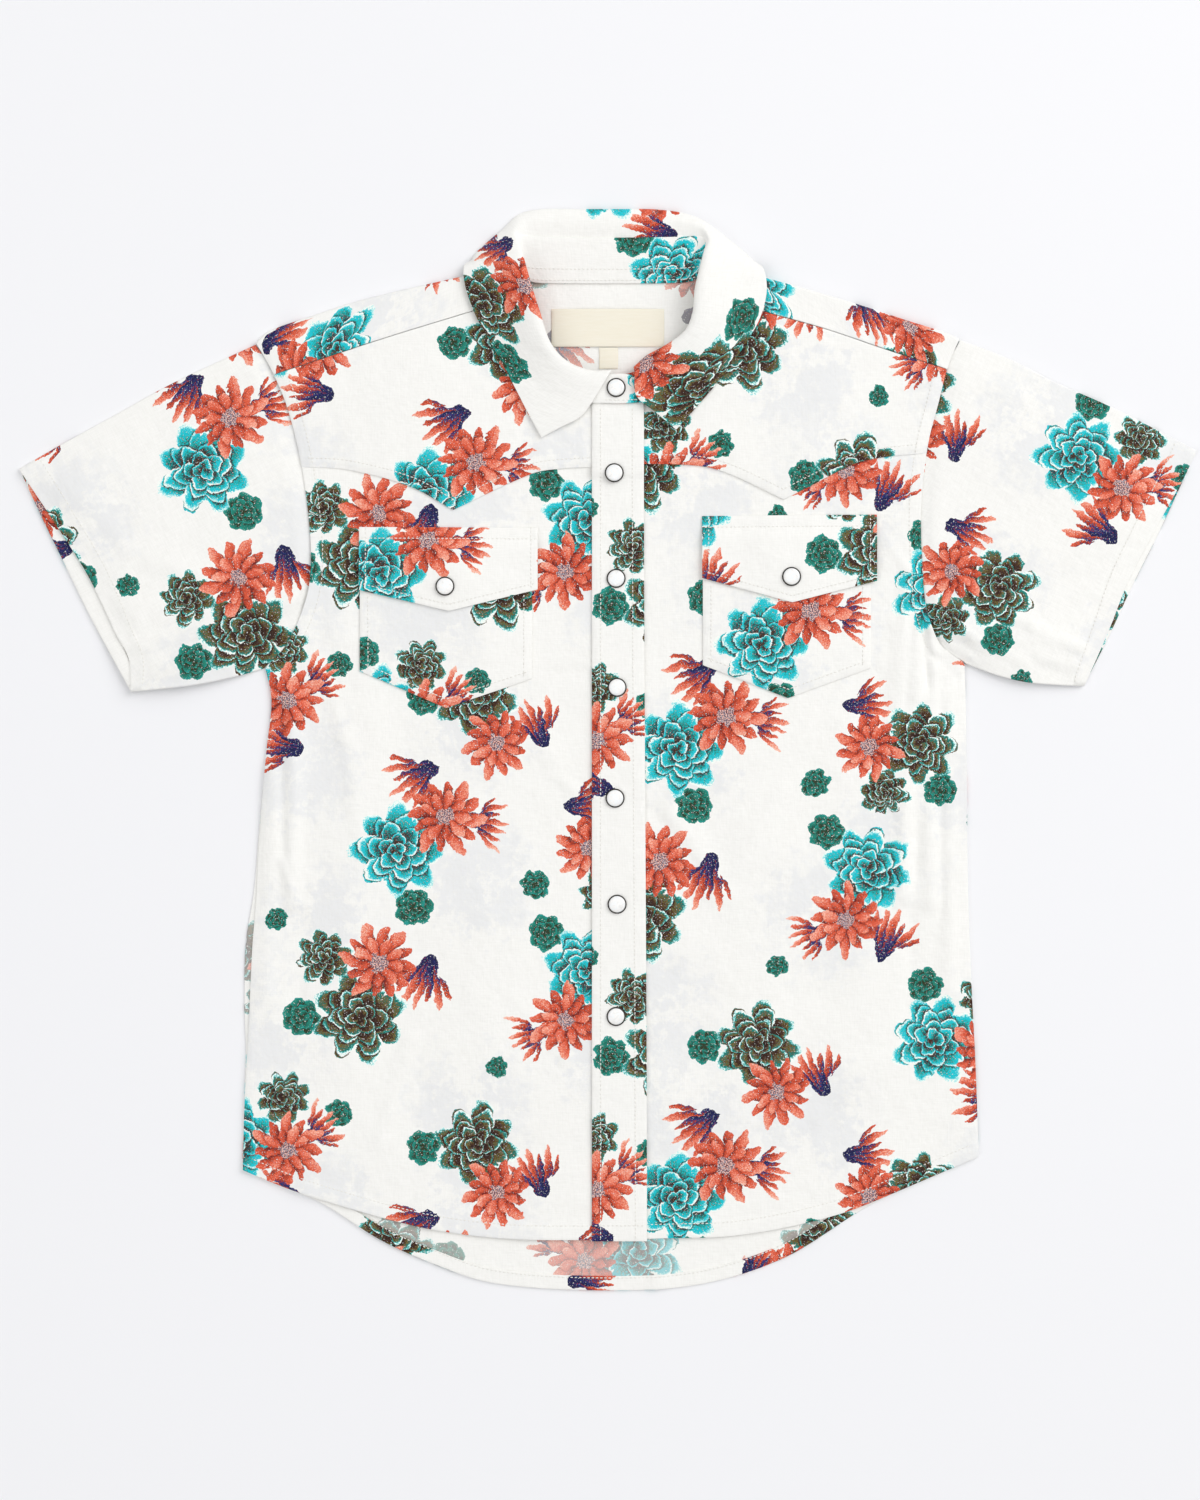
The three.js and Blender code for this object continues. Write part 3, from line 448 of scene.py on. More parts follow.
def foldHeight(table, x, y):
    total = 0.0
    for x0, y0, x1, y1, wide, high in table:
        reach = 2.6 * wide
        if x < min(x0, x1) - reach or x > max(x0, x1) + reach:
            continue
        if y < min(y0, y1) - reach or y > max(y0, y1) + reach:
            continue
        dx, dy = x1 - x0, y1 - y0
        t = min(1.0, max(0.0, ((x - x0) * dx + (y - y0) * dy) / (dx * dx + dy * dy)))
        total += high * bell(math.hypot(x - x0 - t * dx, y - y0 - t * dy), wide)
    return total


def waves(x, y):
    # Slow unevenness of cloth smoothed by hand.
    a = noise.noise(Vector((x / 38, y / 55, 3.1)))
    b = noise.noise(Vector((x / 13, y / 21, 8.7)))
    return 0.80 * a + 0.30 * b


def lift(x, y):
    return max(0.0, foldHeight(folds, x, y))


def backLift(x, y):
    return min(0.6, foldHeight(backCreases, x, y) + 0.2 * max(0.0, waves(x + 90, y - 70)))


armX = {"left": through(armLeft + sideLeft, 1, 0), "right": through(armRight + sideRight, 1, 0)}
peek = through(peekLeft, 1, 0)
hemFrontY, hemBackY = through(frontHem), through(backHem)
yokeEdgeY = {"left": through(yokeEdgeLeft), "right": through(yokeEdgeRight)}
yokeTopY = {"left": through(shoulderSeamLeft + neckLeft), "right": through(neckRight + shoulderSeamRight)}
seamY = {"left": through(shoulderSeamLeft), "right": through(shoulderSeamRight)}
foldY, backSeamY = through(shoulderFold), through(backSeam)


def bandRight(y):
    return mix(band["right"], band["lowRight"], ease((150 - y) / 390))


def ripple(along, d, size=0.10):
    # The small puckers beside a row of stitches d away.
    wobble = math.sin(along * 0.83 + 2 * math.sin(along * 0.21)) + 0.5 * math.sin(along * 1.9 + 1)
    return size * wobble * bell(d, 3.0)


def pressed(d, reach=3.0):
    # A sewn edge d away: 0 inside the panel, down to the sink at its edge.
    return -cloth["sink"] * (1 - ease(d / reach))


def allowance(d, wide, soft, high):
    # The step over a seam allowance turned below the cloth, d from its edge.
    return high * (1 - ease((d - wide) / soft))


def toArm(x, y):
    return armX["right"](y) - x if x > 0 else x - armX["left"](y)


def raised(x, y):
    # The front's height with its folds, creases and unevenness, smooth at its sides.
    up = lift(x, y) + (foldHeight(creases, x, y) + waves(x, y))
    return cloth["floor"] + cloth["layer"] + up * ease((cloth["calm"] - abs(x)) / cloth["fade"])


def frontHeight(x, y):
    d, arm = y - hemFrontY(x), toArm(x, y)
    height = raised(x, y) + (allowance(d, 6.4, 1.2, 0.28) + ripple(x, d - sewing["hem"]))
    if y > 40:
        height += allowance(arm, 5.0, 2.0, 0.22) + ripple(y, arm - sewing["arm"])
        return max(1.9, height)
    return max(cloth["floor"] + cloth["layer"] * 0.6, height + pressed(arm, 2.2))


def bodyHeight(x, y):
    # The front without its edges, as what lies on it reads it.
    return max(1.55, raised(x, y))


def yokeHeight(x, y):
    d, arm = y - yokeEdgeY["left" if x < 5 else "right"](x), toArm(x, y)
    height = bodyHeight(x, y) + cloth["layer"] + pressed(d) + 1.7 * pressed(arm, 6.5)
    height += allowance(arm, 5.0, 2.0, 0.2)
    return max(2.2, height + ripple(x, d - sewing["yoke"]) + ripple(y, arm - sewing["arm"]))


def bandHeight(x, y):
    level = bodyHeight(x, y)
    height = level * 0.35 + (cloth["floor"] + cloth["layer"] + 0.5) * 0.65
    height = max(height, level - 0.3)
    height += cloth["layer"] * (1 + 0.85 * ease((y - 131) / 4))
    left, right = x - band["left"], bandRight(y) - x
    height += pressed(left, 2.4) * 0.8 + pressed(right, 2.4) * 0.4
    return height + ripple(y, left - band["pucker"], 0.07) + ripple(y + 9, sewing["bandRight"] - right, 0.07)


def pointedEdge(p):
    # The lower edge of a pocket or a flap, with its point.
    return through([(p["x0"], p["side0"]), (p["tipX"], p["tipY"], "sharp"), (p["x1"], p["side1"])])


def topEdge(p, x):
    return mix(p["top0"], p["top1"], (x - p["x0"]) / (p["x1"] - p["x0"]))


def inFromEdge(p, x, y):
    # How far inside its sides and its pointed lower edge a pocket or a flap is.
    low = p["side0"] if x < p["tipX"] else p["side1"]
    end = p["x0"] if x < p["tipX"] else p["x1"]
    slant = mix(low, p["tipY"], (x - end) / (p["tipX"] - end))
    return min(x - p["x0"], p["x1"] - x, (y - slant) * 0.92)


def pocketHeight(x, y):
    p = pockets["left" if x < 0 else "right"]
    d = inFromEdge(p, x, y)
    middle = bell(x - p["tipX"], 26) * bell(y - p["top0"], 26) * 0.5
    return bodyHeight(x, y) + cloth["layer"] + pressed(d) + ripple(x + y, d - sewing["pocket"]) + middle


def flapHeight(x, y):
    f = flaps["left" if x < 0 else "right"]
    top, edge = topEdge(f, x) - y, inFromEdge(f, x, y)
    height = bodyHeight(x, y) + cloth["layer"] * (1 + ease((f["pocketTop"] - y) / 7))
    middle = bell(x - f["tipX"], 26) * bell(y - f["side0"] - 4, 16) * 0.5
    puckers = ripple(x, top - sewing["flapTop"]) + ripple(x + y, edge - sewing["flap"], 0.06)
    return height + pressed(top) + puckers + middle


print("tables ready")


class Wire:
    # A value socket that can be summed and multiplied into Math nodes.

    def __init__(self, graph, socket):
        self.graph, self.socket = graph, socket

    def __add__(self, other):
        return self.graph.math("ADD", self, other)

    def __radd__(self, other):
        return self.graph.math("ADD", other, self)

    def __sub__(self, other):
        return self.graph.math("SUBTRACT", self, other)

    def __rsub__(self, other):
        return self.graph.math("SUBTRACT", other, self)

    def __mul__(self, other):
        return self.graph.math("MULTIPLY", self, other)

    def __rmul__(self, other):
        return self.graph.math("MULTIPLY", other, self)

    def __truediv__(self, other):
        return self.graph.math("DIVIDE", self, other)


class Graph:
    # The nodes of one material, wired by calls.

    def __init__(self, name):
        self.material = bpy.data.materials.new(name)
        self.material.use_nodes = True
        self.tree = self.material.node_tree
        self.shader = self.tree.nodes["Principled BSDF"]

    def put(self, socket, value):
        if isinstance(value, Wire):
            self.tree.links.new(value.socket, socket)
        else:
            socket.default_value = value

    def finish(self, sockets):
        for name, value in sockets.items():
            self.put(self.shader.inputs[name], value)
        return self.material

    def node(self, kind, settings=None, sockets=None, out=0):
        made = self.tree.nodes.new("ShaderNode" + kind)
        for name, value in (settings or {}).items():
            setattr(made, name, value)
        for name, value in (sockets or {}).items():
            self.put(made.inputs[name], value)
        return Wire(self, made.outputs[out])

    def math(self, operation, *values, clamp=False):
        return self.node("Math", {"operation": operation, "use_clamp": clamp}, dict(enumerate(values)))

    def vector(self, operation, *values, out=0, **sockets):
        sockets.update(enumerate(values))
        return self.node("VectorMath", {"operation": operation}, sockets, out)

    def blend(self, factor, a, b):
        return self.node("Mix", {"data_type": "RGBA"}, {0: factor, 6: a, 7: b}, 2)

    def choose(self, factor, a, b):
        return self.node("Mix", {"data_type": "VECTOR"}, {0: factor, 4: a, 5: b}, 1)

    def rise(self, value, low, high):
        # 0 below low, 1 above high and smooth between.
        return self.node("MapRange", {"interpolation_type": "SMOOTHSTEP"}, {0: value, 1: low, 2: high})

    def onCut(self):
        # Millimetres on the sheet's own cut.
        return self.vector("SCALE", self.node("UVMap", {"uv_map": "flat"}), Scale=1000.0)

    def inSpace(self):
        return self.vector("SCALE", self.node("TexCoord", None, None, "Object"), Scale=1000.0)

    def noise(self, at, scale, detail=2.0, rough=0.5, out=0, dimensions="2D"):
        sockets = {"Vector": at, "Scale": scale, "Detail": detail, "Roughness": rough}
        return self.node("TexNoise", {"noise_dimensions": dimensions}, sockets, out)

    def cells(self, at, size, uneven):
        sockets = {"Vector": at, "Scale": 1 / size, "Randomness": uneven}
        return self.node("TexVoronoi", {"voronoi_dimensions": "2D"}, sockets)

    def spin(self, at, angle):
        return self.node("VectorRotate", {"rotation_type": "Z_AXIS"}, {"Vector": at, "Angle": angle})

    def under(self, a, b):
        return self.math("LESS_THAN", a, b)

    def over(self, a, b):
        return self.math("GREATER_THAN", a, b)

    def bump(self, strength, height):
        return self.node("Bump", None, {"Strength": strength, "Distance": mm, "Height": height})

    def split(self, vector):
        first = self.node("SeparateXYZ", None, {0: vector})
        outs = first.socket.node.outputs
        return first, Wire(self, outs[1]), Wire(self, outs[2])

    def ramp(self, value, stops, hard=False):
        made = self.node("ValToRGB", None, {0: value})
        bar = made.socket.node.color_ramp
        bar.interpolation = "CONSTANT" if hard else "LINEAR"
        for k, (at, colour) in enumerate(stops):
            stop = bar.elements[k] if k < 2 else bar.elements.new(at)
            stop.position = at
            stop.color = colour
        return made


def colour(code):
    # A linear colour with alpha from six hex digits.
    parts = [int(code[k:k + 2], 16) / 255 for k in (0, 2, 4)]
    return tuple(c / 12.92 if c <= 0.04045 else ((c + 0.055) / 1.055) ** 2.4 for c in parts) + (1.0,)


# The print: a generic scatter of clusters of rosettes, spiky flowers, buds and leaf tufts in a
# repeating tile, all in millimetres and radians. A cluster's row is x, y, size, turn, mirror, tone.
tile = {"wide": 176.0, "tall": 188.0}
clusters = [
    (30, 34, 1.00, 0.5, 1, 0.1),
    (126, 26, 0.95, 2.3, -1, 0.9),
    (77, 95, 1.05, -0.9, 1, 0.7),
    (166, 99, 1.00, 1.5, -1, 0.0),
    (8, 158, 0.92, 3.4, 1, 0.8),
    (98, 161, 1.06, -2.2, -1, 0.2),
]
tufts = [
    (66, 46, 6.5, 0.4, 1, 0.3),
    (132, 66, 5.0, 1.9, 1, 0.8),
    (40, 128, 5.5, 2.7, 1, 0.5),
    (148, 142, 7.0, 0.9, 1, 0.2),
]
# In a cluster: x, y, radius, turn, mirror, tone added.
members = {
    "tuft": [(-22, 15, 8.5, 0.3, 1, 0.0)],
    "rosette": [(-8, -3, 20.5, 0.2, 1, 0.0), (2, 23, 12.5, 1.1, 1, 0.8)],
    "bud": [(20, -14, 17, -1.9, 1, 0.0), (22, 18, 13, -0.5, -1, 0.5)],
    "flower": [(14, 4, 17, 0.6, 1, 0.0)],
}
# Rings of petals from the outside in: reach, count, turn.
rosetteRings = [(1.0, 8, 0.0), (0.82, 7, 0.55), (0.62, 6, 0.2), (0.42, 5, 0.7), (0.22, 3, 0.3)]
tuftRings = [(1.0, 7, 0.2), (0.66, 6, 0.8), (0.34, 4, 0.1)]
ink = {
    "night": colour("1B1C48"),
    "blue": colour("1E3A80"),
    "steel": colour("7C92A8"),
    "soil": colour("2C1A14"),
    "bark": colour("43291C"),
    "moss": colour("2C3620"),
    "leaf": colour("1B5347"),
    "jade": colour("1F7F6E"),
    "deep": colour("14505A"),
    "olive": colour("6F6232"),
    "pine": colour("1C6A60"),
    "teal": colour("21958C"),
    "sky": colour("19C1CD"),
    "ice": colour("9FE6E6"),
    "white": colour("F4F8F2"),
    "wine": colour("6E231F"),
    "rust": colour("AE3E28"),
    "coral": colour("D8583C"),
    "salmon": colour("EC8A70"),
    "blush": colour("F5BBA6"),
}
# Which ink each shade of a motif takes, from the darkest on.
greenLeaf = [(0.0, ink["moss"]), (0.10, ink["leaf"]), (0.24, ink["jade"]), (0.62, ink["teal"])]
brightLeaf = [(0.0, ink["bark"]), (0.10, ink["deep"]), (0.20, ink["teal"]), (0.33, ink["sky"]),
              (0.62, ink["ice"]), (0.76, ink["white"])]
darkLeaf = [(0.0, ink["soil"]), (0.14, ink["bark"]), (0.30, ink["olive"]), (0.42, ink["pine"]),
            (0.58, ink["teal"]), (0.70, ink["ice"]), (0.80, ink["white"])]
petal = [(0.0, ink["wine"]), (0.14, ink["rust"]), (0.34, ink["coral"]), (0.60, ink["salmon"]),
         (0.80, ink["blush"])]
heart = [(0.0, ink["wine"]), (0.46, ink["steel"]), (0.56, ink["blush"])]
budShades = [(0.0, ink["night"]), (0.28, ink["blue"]), (0.38, ink["wine"]), (0.46, ink["rust"]),
             (0.58, ink["coral"]), (0.74, ink["salmon"]), (0.90, ink["blush"])]
cotton = {
    "shade": colour("EAE9E4"),
    "light": colour("FCFBF8"),
    "below": colour("C9CEDA"),  # the print of a lower layer
    "reverse": colour("E2DEDA"),
    "printSize": 1.16,
    "stray": 4.5,  # how far the motifs' outlines stray
    "strayBelow": 34.0,
    "patches": 72,  # size of the patches that show through, and of their lobes
    "lobes": 24,
    "crinkle": 1.35,
}


def nearest(g, at, rows, wraps=False):
    # Place within the nearest row's motif, in its own size and turn, the distance, and its tone.
    best, place, facts = None, None, None
    for x, y, size, turn, mirror, tone in rows:
        away = g.vector("SUBTRACT", at, (x, y, 0.0))
        if wraps:
            half = (tile["wide"] / 2, tile["tall"] / 2, 1.0)
            away = g.vector("WRAP", away, half, (-half[0], -half[1], -1.0))
        away = g.vector("MULTIPLY", away, (mirror / size, 1 / size, 0.0))
        own = (turn, tone, 0.0)
        far = g.vector("LENGTH", away, out=1)
        if best is None:
            best, place, facts = far, away, own
            continue
        closer = g.under(far, best)
        place = g.choose(closer, place, away)
        facts = g.choose(closer, facts, own)
        best = g.math("MINIMUM", best, far)
    if len(rows) > 1:
        facts = g.split(facts)
    return g.spin(place, facts[0]), best, facts[1]


def polar(g, place):
    x, y, _ = g.split(place)
    return g.math("ARCTAN2", y, x), g.vector("LENGTH", place, out=1)


def petalRing(g, angle, reach, count, turn, point, uneven):
    # The rim of a ring of petals, how far to a petal's side, the signed side and a random number.
    a = angle * (count / math.tau) + turn
    cell = g.math("FLOORED_MODULO", g.math("FLOOR", a), float(count))
    chance = g.node("TexWhiteNoise", {"noise_dimensions": "1D"}, {"W": cell + turn * 7.3 + count})
    part = g.math("FRACT", a) - 0.5
    side = g.math("ABSOLUTE", part) * 2
    rim = reach * (1 - point * g.math("POWER", side, 1.6)) * (1 - uneven + uneven * chance)
    return rim, side, part, chance


def rosette(g, place, grain, rings, point=0.34):
    angle, r = polar(g, place)
    shade, mask = None, None
    for reach, count, turn in rings:
        rim, _, part, chance = petalRing(g, angle, reach, count, turn, point, 0.16)
        t = r / rim
        tint = 0.46 * t * t + 0.40 * part + 0.26 * (chance - 0.5) + 0.30 * g.rise(t, 0.86, 0.97)
        within = g.under(r, rim)
        if shade is None:
            shade, mask = tint, within
        else:
            shade = shade * (0.30 + 0.70 * g.rise(r, rim, rim + 0.07))
            shade = shade + within * (tint - shade)
    return shade + (grain - 0.5) * 0.8, mask


def flower(g, place, grain, speck):
    angle, r = polar(g, place)
    rim, side, part, chance = petalRing(g, angle + 0.25 * r, 1.02, 12, 0.0, 0.40, 0.22)
    inner, innerSide, innerPart, luck = petalRing(g, angle - 0.2 * r, 0.66, 9, 0.37, 0.40, 0.20)
    tint = 0.24 + 0.38 * r + 0.30 * (chance - 0.5) + 0.4 * part - 0.42 * g.math("POWER", side, 3.0)
    over = 0.20 + 0.75 * r + 0.30 * (luck - 0.5) + 0.4 * innerPart - 0.42 * g.math("POWER", innerSide, 3.0)
    tint = tint * (0.55 + 0.45 * g.rise(r, inner, inner + 0.14))
    tint = tint + g.under(r, inner) * (over - tint) + (grain - 0.5) * 1.1
    hue, eye = g.ramp(tint, petal, hard=True), g.ramp(speck, heart, hard=True)
    return g.blend(g.under(r, 0.17 + 0.08 * chance), hue, eye), g.under(r, rim)


def bud(g, place, grain):
    x, y, _ = g.split(place)
    up = y + 0.62
    lean = g.math("ARCTAN2", x, up)
    far = g.math("SQRT", x * x + up * up)
    rim, side, part, chance = petalRing(g, lean + 0.22 * x, 1.50, 22, 0.5, 0.42, 0.34)
    gap = g.over(side * g.rise(far, 0.55, 1.25), 0.56 + 0.2 * chance)
    spread = g.under(g.math("ABSOLUTE", lean + 0.10 * part), 0.26 + 0.52 * g.rise(far, 0.15, 0.75))
    foot = g.vector("ADD", place, (0.0, 0.24, 0.0))
    stem = g.vector("LENGTH", g.vector("MULTIPLY", foot, (4.4, 2.5, 0.0)), out=1)
    mask = g.math("MAXIMUM", spread * g.under(far, rim) * (1 - gap), g.under(stem, 1.0))
    tint = far * 0.62 + 0.30 * (chance - 0.5) + 0.35 * part + (grain - 0.5) * 0.9
    return g.ramp(tint, budShades, hard=True), mask


def printPaint(g, moved, grain, speck):
    # The colour of the print and how far it covers the cloth, with the later motifs on top.
    place, _, tone = nearest(g, moved, clusters, wraps=True)
    lone, _, _ = nearest(g, moved, tufts, wraps=True)
    near, far, _ = nearest(g, place, members["tuft"])
    closer = g.under(far, g.vector("LENGTH", lone, out=1))
    shade, mask = rosette(g, g.choose(closer, lone, near), grain, tuftRings, 0.16)
    layers = [(g.ramp(shade - 0.05, greenLeaf, hard=True), mask)]

    # The second bud and the second rosette are missing from some clusters.
    near, _, more = nearest(g, place, members["bud"])
    hue, mask = bud(g, near, grain)
    layers.append((hue, mask * (1 - g.over(more * tone, 0.3))))
    near, _, more = nearest(g, place, members["rosette"])
    shade, mask = rosette(g, near, grain, rosetteRings)
    hue = g.blend(g.over(tone + more, 0.55), g.ramp(shade, brightLeaf, True), g.ramp(shade, darkLeaf, True))
    missing = g.over(more, 0.5) * g.under(g.math("FRACT", tone * 7), 0.5)
    layers.append((hue, mask * (1 - missing)))
    near, _, _ = nearest(g, place, members["flower"])
    layers.append(flower(g, near, grain, speck))

    paint, cover = layers[0]
    for hue, mask in layers[1:]:
        paint = g.blend(mask, paint, hue)
        cover = g.math("MAXIMUM", cover, mask)
    return paint, cover * g.rise(grain + 0.3 * speck, 0.40, 0.50)  # ink takes unevenly on thread


def clothMaterial(name, reverse=False, ghost=True):
    g = Graph(name)
    at = g.onCut()
    stir = g.vector("SUBTRACT", g.noise(at, 0.15, 4.0, 0.62, out=1), (0.5, 0.5, 0.5))
    strayed = g.vector("ADD", at, g.vector("SCALE", stir, Scale=cotton["stray"]))
    moved = g.vector("SCALE", strayed, Scale=1 / cotton["printSize"])
    grain, speck = g.noise(at, 1.15, 2.0, 0.7), g.noise(at, 1.7, 1.0, 0.5)
    paint, cover = printPaint(g, moved, grain, speck)

    # Slubs run both ways, a few threads wide.
    warp = g.noise(g.vector("MULTIPLY", at, (1.7, 0.14, 1.0)), 1.0, 2.0, 0.6)
    weft = g.noise(g.vector("MULTIPLY", at, (0.13, 1.9, 1.0)), 1.0, 2.0, 0.6)
    slub = (warp + weft) * 0.5
    ground = g.blend(slub, cotton["shade"], cotton["light"])
    if ghost:
        # The print of the layer below shows through as faint cool patches.
        below = g.vector("ADD", moved, g.vector("SCALE", stir, Scale=cotton["strayBelow"]))
        wide, lobes = g.cells(below, cotton["patches"], 0.6), g.cells(below, cotton["lobes"], 0.8)
        patch = (1 - g.rise(wide, 0.20, 0.44)) * (1 - g.rise(lobes, 0.34, 0.66)) * (0.08 + 0.34 * slub)
        ground = g.blend(patch, ground, cotton["below"])
    if reverse:
        paint = g.blend(0.30, paint, cotton["reverse"])
        cover = cover * 0.86

    # Plain weave, slubs and hand-smoothed crinkle.
    cross, up, _ = g.split(at)
    weave = g.math("SINE", cross * 13.5) * g.math("SINE", up * 12.6)
    crinkle = g.noise(at, 0.085, 3.0, 0.62)
    return g.finish({
        "Base Color": g.blend(cover, ground, paint),
        "Roughness": 0.80 + 0.14 * slub - 0.10 * cover,
        "Normal": g.bump(0.5, slub * 0.15 + weave * 0.010 + crinkle * cotton["crinkle"]),
        "Specular IOR Level": 0.22,
        "Sheen Weight": 0.08,
        "Sheen Roughness": 0.5,
    })


def labelMaterial():
    g = Graph("labelTape")
    at = g.onCut()
    _, up, _ = g.split(at)
    rib = g.math("SINE", up * 15.0) * 0.5 + 0.5
    shine = g.noise(g.vector("MULTIPLY", at, (0.12, 0.9, 1.0)), 1.0, 2.0, 0.6)
    return g.finish({
        "Base Color": g.blend(shine, colour("ECE5D1"), colour("F1ECDD")),
        "Roughness": 0.45 + 0.2 * shine,
        "Normal": g.bump(0.3, rib * 0.04 + shine * 0.04),
    })


def threadMaterial():
    g = Graph("whiteThread")
    twist = g.noise(g.inSpace(), 2.2, 2.0, dimensions="3D")
    return g.finish({
        "Base Color": g.blend(twist, colour("DEDCD4"), colour("FAF9F4")),
        "Roughness": 0.55 + 0.25 * twist,
        "Normal": g.bump(0.3, twist * 0.1),
    })


def pearlMaterial():
    g = Graph("pearlCap")
    sockets = {"Vector": g.inSpace(), "Scale": 0.32, "Detail": 3.0, "Distortion": 1.6}
    cloud = g.node("TexNoise", None, sockets)
    shades = [(0.30, colour("E9EAE8")), (0.45, colour("F7F5F2")), (0.58, colour("EFF3F4")),
              (0.72, colour("FAF7F6"))]
    return g.finish({
        "Base Color": g.ramp(cloud, shades),
        "Roughness": 0.16 + 0.12 * cloud,
        "Coat Weight": 0.5,
        "Coat Roughness": 0.06,
    })


def ringMaterial():
    g = Graph("snapRing")
    wear = g.noise(g.inSpace(), 1.1, 3.0, dimensions="3D")
    return g.finish({
        "Base Color": g.blend(wear, colour("2B2927"), colour("5A5753")),
        "Roughness": 0.26 + 0.25 * wear,
        "Metallic": 1.0,
    })


def floorMaterial():
    g = Graph("paleFloor")
    soft = g.noise(g.node("TexCoord", None, None, "Object"), 1.6, 1.0, dimensions="3D")
    return g.finish({
        "Base Color": g.blend(soft, colour("F0F0F2"), colour("F2F2F4")),
        "Roughness": 0.9,
        "Specular IOR Level": 0.1,
    })


face = clothMaterial("printedCotton")
firmFace = clothMaterial("printedCottonFirm", ghost=False)
inside = clothMaterial("printedCottonInside", reverse=True, ghost=False)
tape, thread = labelMaterial(), threadMaterial()
print("materials ready")


def inMetres(p):
    return ((p[0] + cloth["originX"]) * mm, (p[1] + cloth["originY"]) * mm, p[2] * mm)


def newObject(name, bm, looks):
    mesh = bpy.data.meshes.new(name)
    bm.to_mesh(mesh)
    bm.free()
    for look in looks:
        mesh.materials.append(look)
    obj = bpy.data.objects.new(name, mesh)
    bpy.context.scene.collection.objects.link(obj)
    return obj


def finished(name, bm, looks, slot, node=None):
    # A smooth object at the origin, on the one body, in place of its CAD node.
    obj = newObject(name, bm, looks)
    obj.data.polygons.foreach_set("use_smooth", [True] * len(obj.data.polygons))
    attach(obj, "root")
    if node:
        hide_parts(node)
    return obj


def quadArea(a, b, c, d):
    return abs((c[0] - a[0]) * (d[1] - b[1]) - (d[0] - b[0]) * (c[1] - a[1])) / 2


cuts = []


def sheet(name, node, grid, flat, on, held="laid", looks=None, slot="cloth", thick=None, down=False,
          keep=None, hems=(), strip=False):
    # A thin shell on a grid of points. down turns its outer face down, and its rows then count from
    # the last one. keep says which cells stay, by row and column. strip says that it is a turned edge
    # of another sheet and has no cut of its own.
    if down:
        grid, flat = grid[::-1], flat[::-1]
    places = [q for row in flat for q in row]
    cols = len(grid[0])
    bm = bmesh.new()
    bmesh.ops.create_grid(bm, x_segments=cols - 1, y_segments=len(grid) - 1, size=1)
    for vert, point in zip(bm.verts, (p for row in grid for p in row)):
        vert.co = inMetres(point)
    bm.verts.index_update()
    layer = bm.loops.layers.uv.new("flat")
    for polygon in bm.faces:
        for loop in polygon.loops:
            u, v = places[loop.vert.index]
            loop[layer].uv = (u * mm, v * mm)
    kept = [f for k, f in enumerate(bm.faces) if not keep or keep(*divmod(k, cols - 1))]
    quads = [[places[v.index] for v in f.verts] for f in kept]
    us, vs = zip(*(q for quad in quads for q in quad))
    size = ((max(us) - min(us)) * mm, (max(vs) - min(vs)) * mm)
    area = min(sum(quadArea(*quad) for quad in quads) * mm * mm, size[0] * size[1])
    bmesh.ops.delete(bm, geom=list(set(bm.faces) - set(kept)), context="FACES")

    obj = finished(name, bm, looks or (face, inside), slot, node)
    shell = obj.modifiers.new("wall", "SOLIDIFY")
    shell.thickness = (thick or cloth["thick"]) * mm
    shell.offset = 0.0
    shell.material_offset = 1
    edge = obj.modifiers.new("softEdge", "BEVEL")
    edge.width = 0.22 * mm
    edge.segments = 2
    edge.limit_method = "ANGLE"
    edge.angle_limit = math.radians(55)
    if not strip:
        cuts.append((obj, size, held, on, area, hems))
    print(name, f"{size[0]:.3f} x {size[1]:.3f} m, area {area:.4f}")


def fixed(value):
    return lambda at: value


def panel(across, up, left, right, bottom, top, height):
    # Points between a left and a right edge, x of y, and a bottom and a top edge, y of x.
    grid = []
    for v in up:
        row = []
        for u in across:
            x = mix(left(0), right(0), u)
            y = mix(bottom(x), top(x), v)
            for _ in range(18):
                x = mix(left(y), right(y), u)
                y = mix(y, mix(bottom(x), top(x), v), 0.7)
            row.append((x, y, height(x, y)))
        grid.append(row)
    return grid


def planFlat(grid, shift=(0, 0), mirror=1):
    # Flat coordinates of a panel that lies flat: its plan, moved so that prints don't match.
    return [[(mirror * p[0] + shift[0], p[1] + shift[1]) for p in row] for row in grid]


def crowd(n, power=1.15):
    # Shares that crowd towards 1.
    return [1 - (1 - i / n) ** power for i in range(n + 1)]


# Back panel and back yoke.
tail = {"x": 24.4, "wide": 4.0, "high": 0.9, "from": -205, "over": 30}  # the fold at the tail
backShift = (40, 66)
yoke = {"seam": 152, "shift": (95, 20), "neck": (48, 88), "strip": 19.0}


def tailFold(x, y):
    return tail["high"] * bell(x - tail["x"], tail["wide"]) * ease((tail["from"] - y) / tail["over"])


def backHeight(x, y):
    soft = ease((168 - abs(x)) / 12) * ease((y - hemBackY(x) - 8) / 10) * ease((backSeamY(x) - y) / 8)
    return cloth["floor"] + tailFold(x, y) + backLift(x, y) * soft


grid = panel(
    shares([0, 0.5, 1], [40, 40]), shares([0, 0.15, 1], [26, 70]),
    lambda y: armX["left"](y) - peek(y), armX["right"], hemBackY, lambda x: backSeamY(x) - 0.3, backHeight,
)
sheet("cloth_back_panel", "back_panel", grid, planFlat(grid, backShift, -1), [], down=True,
      hems=["cloth_back_hem"])


def settle(curve, u, side, start):
    # Where a column of share u meets a seam.
    at = start
    for _ in range(8):
        at = curve(abs(u) * armX[side](at))
    return at


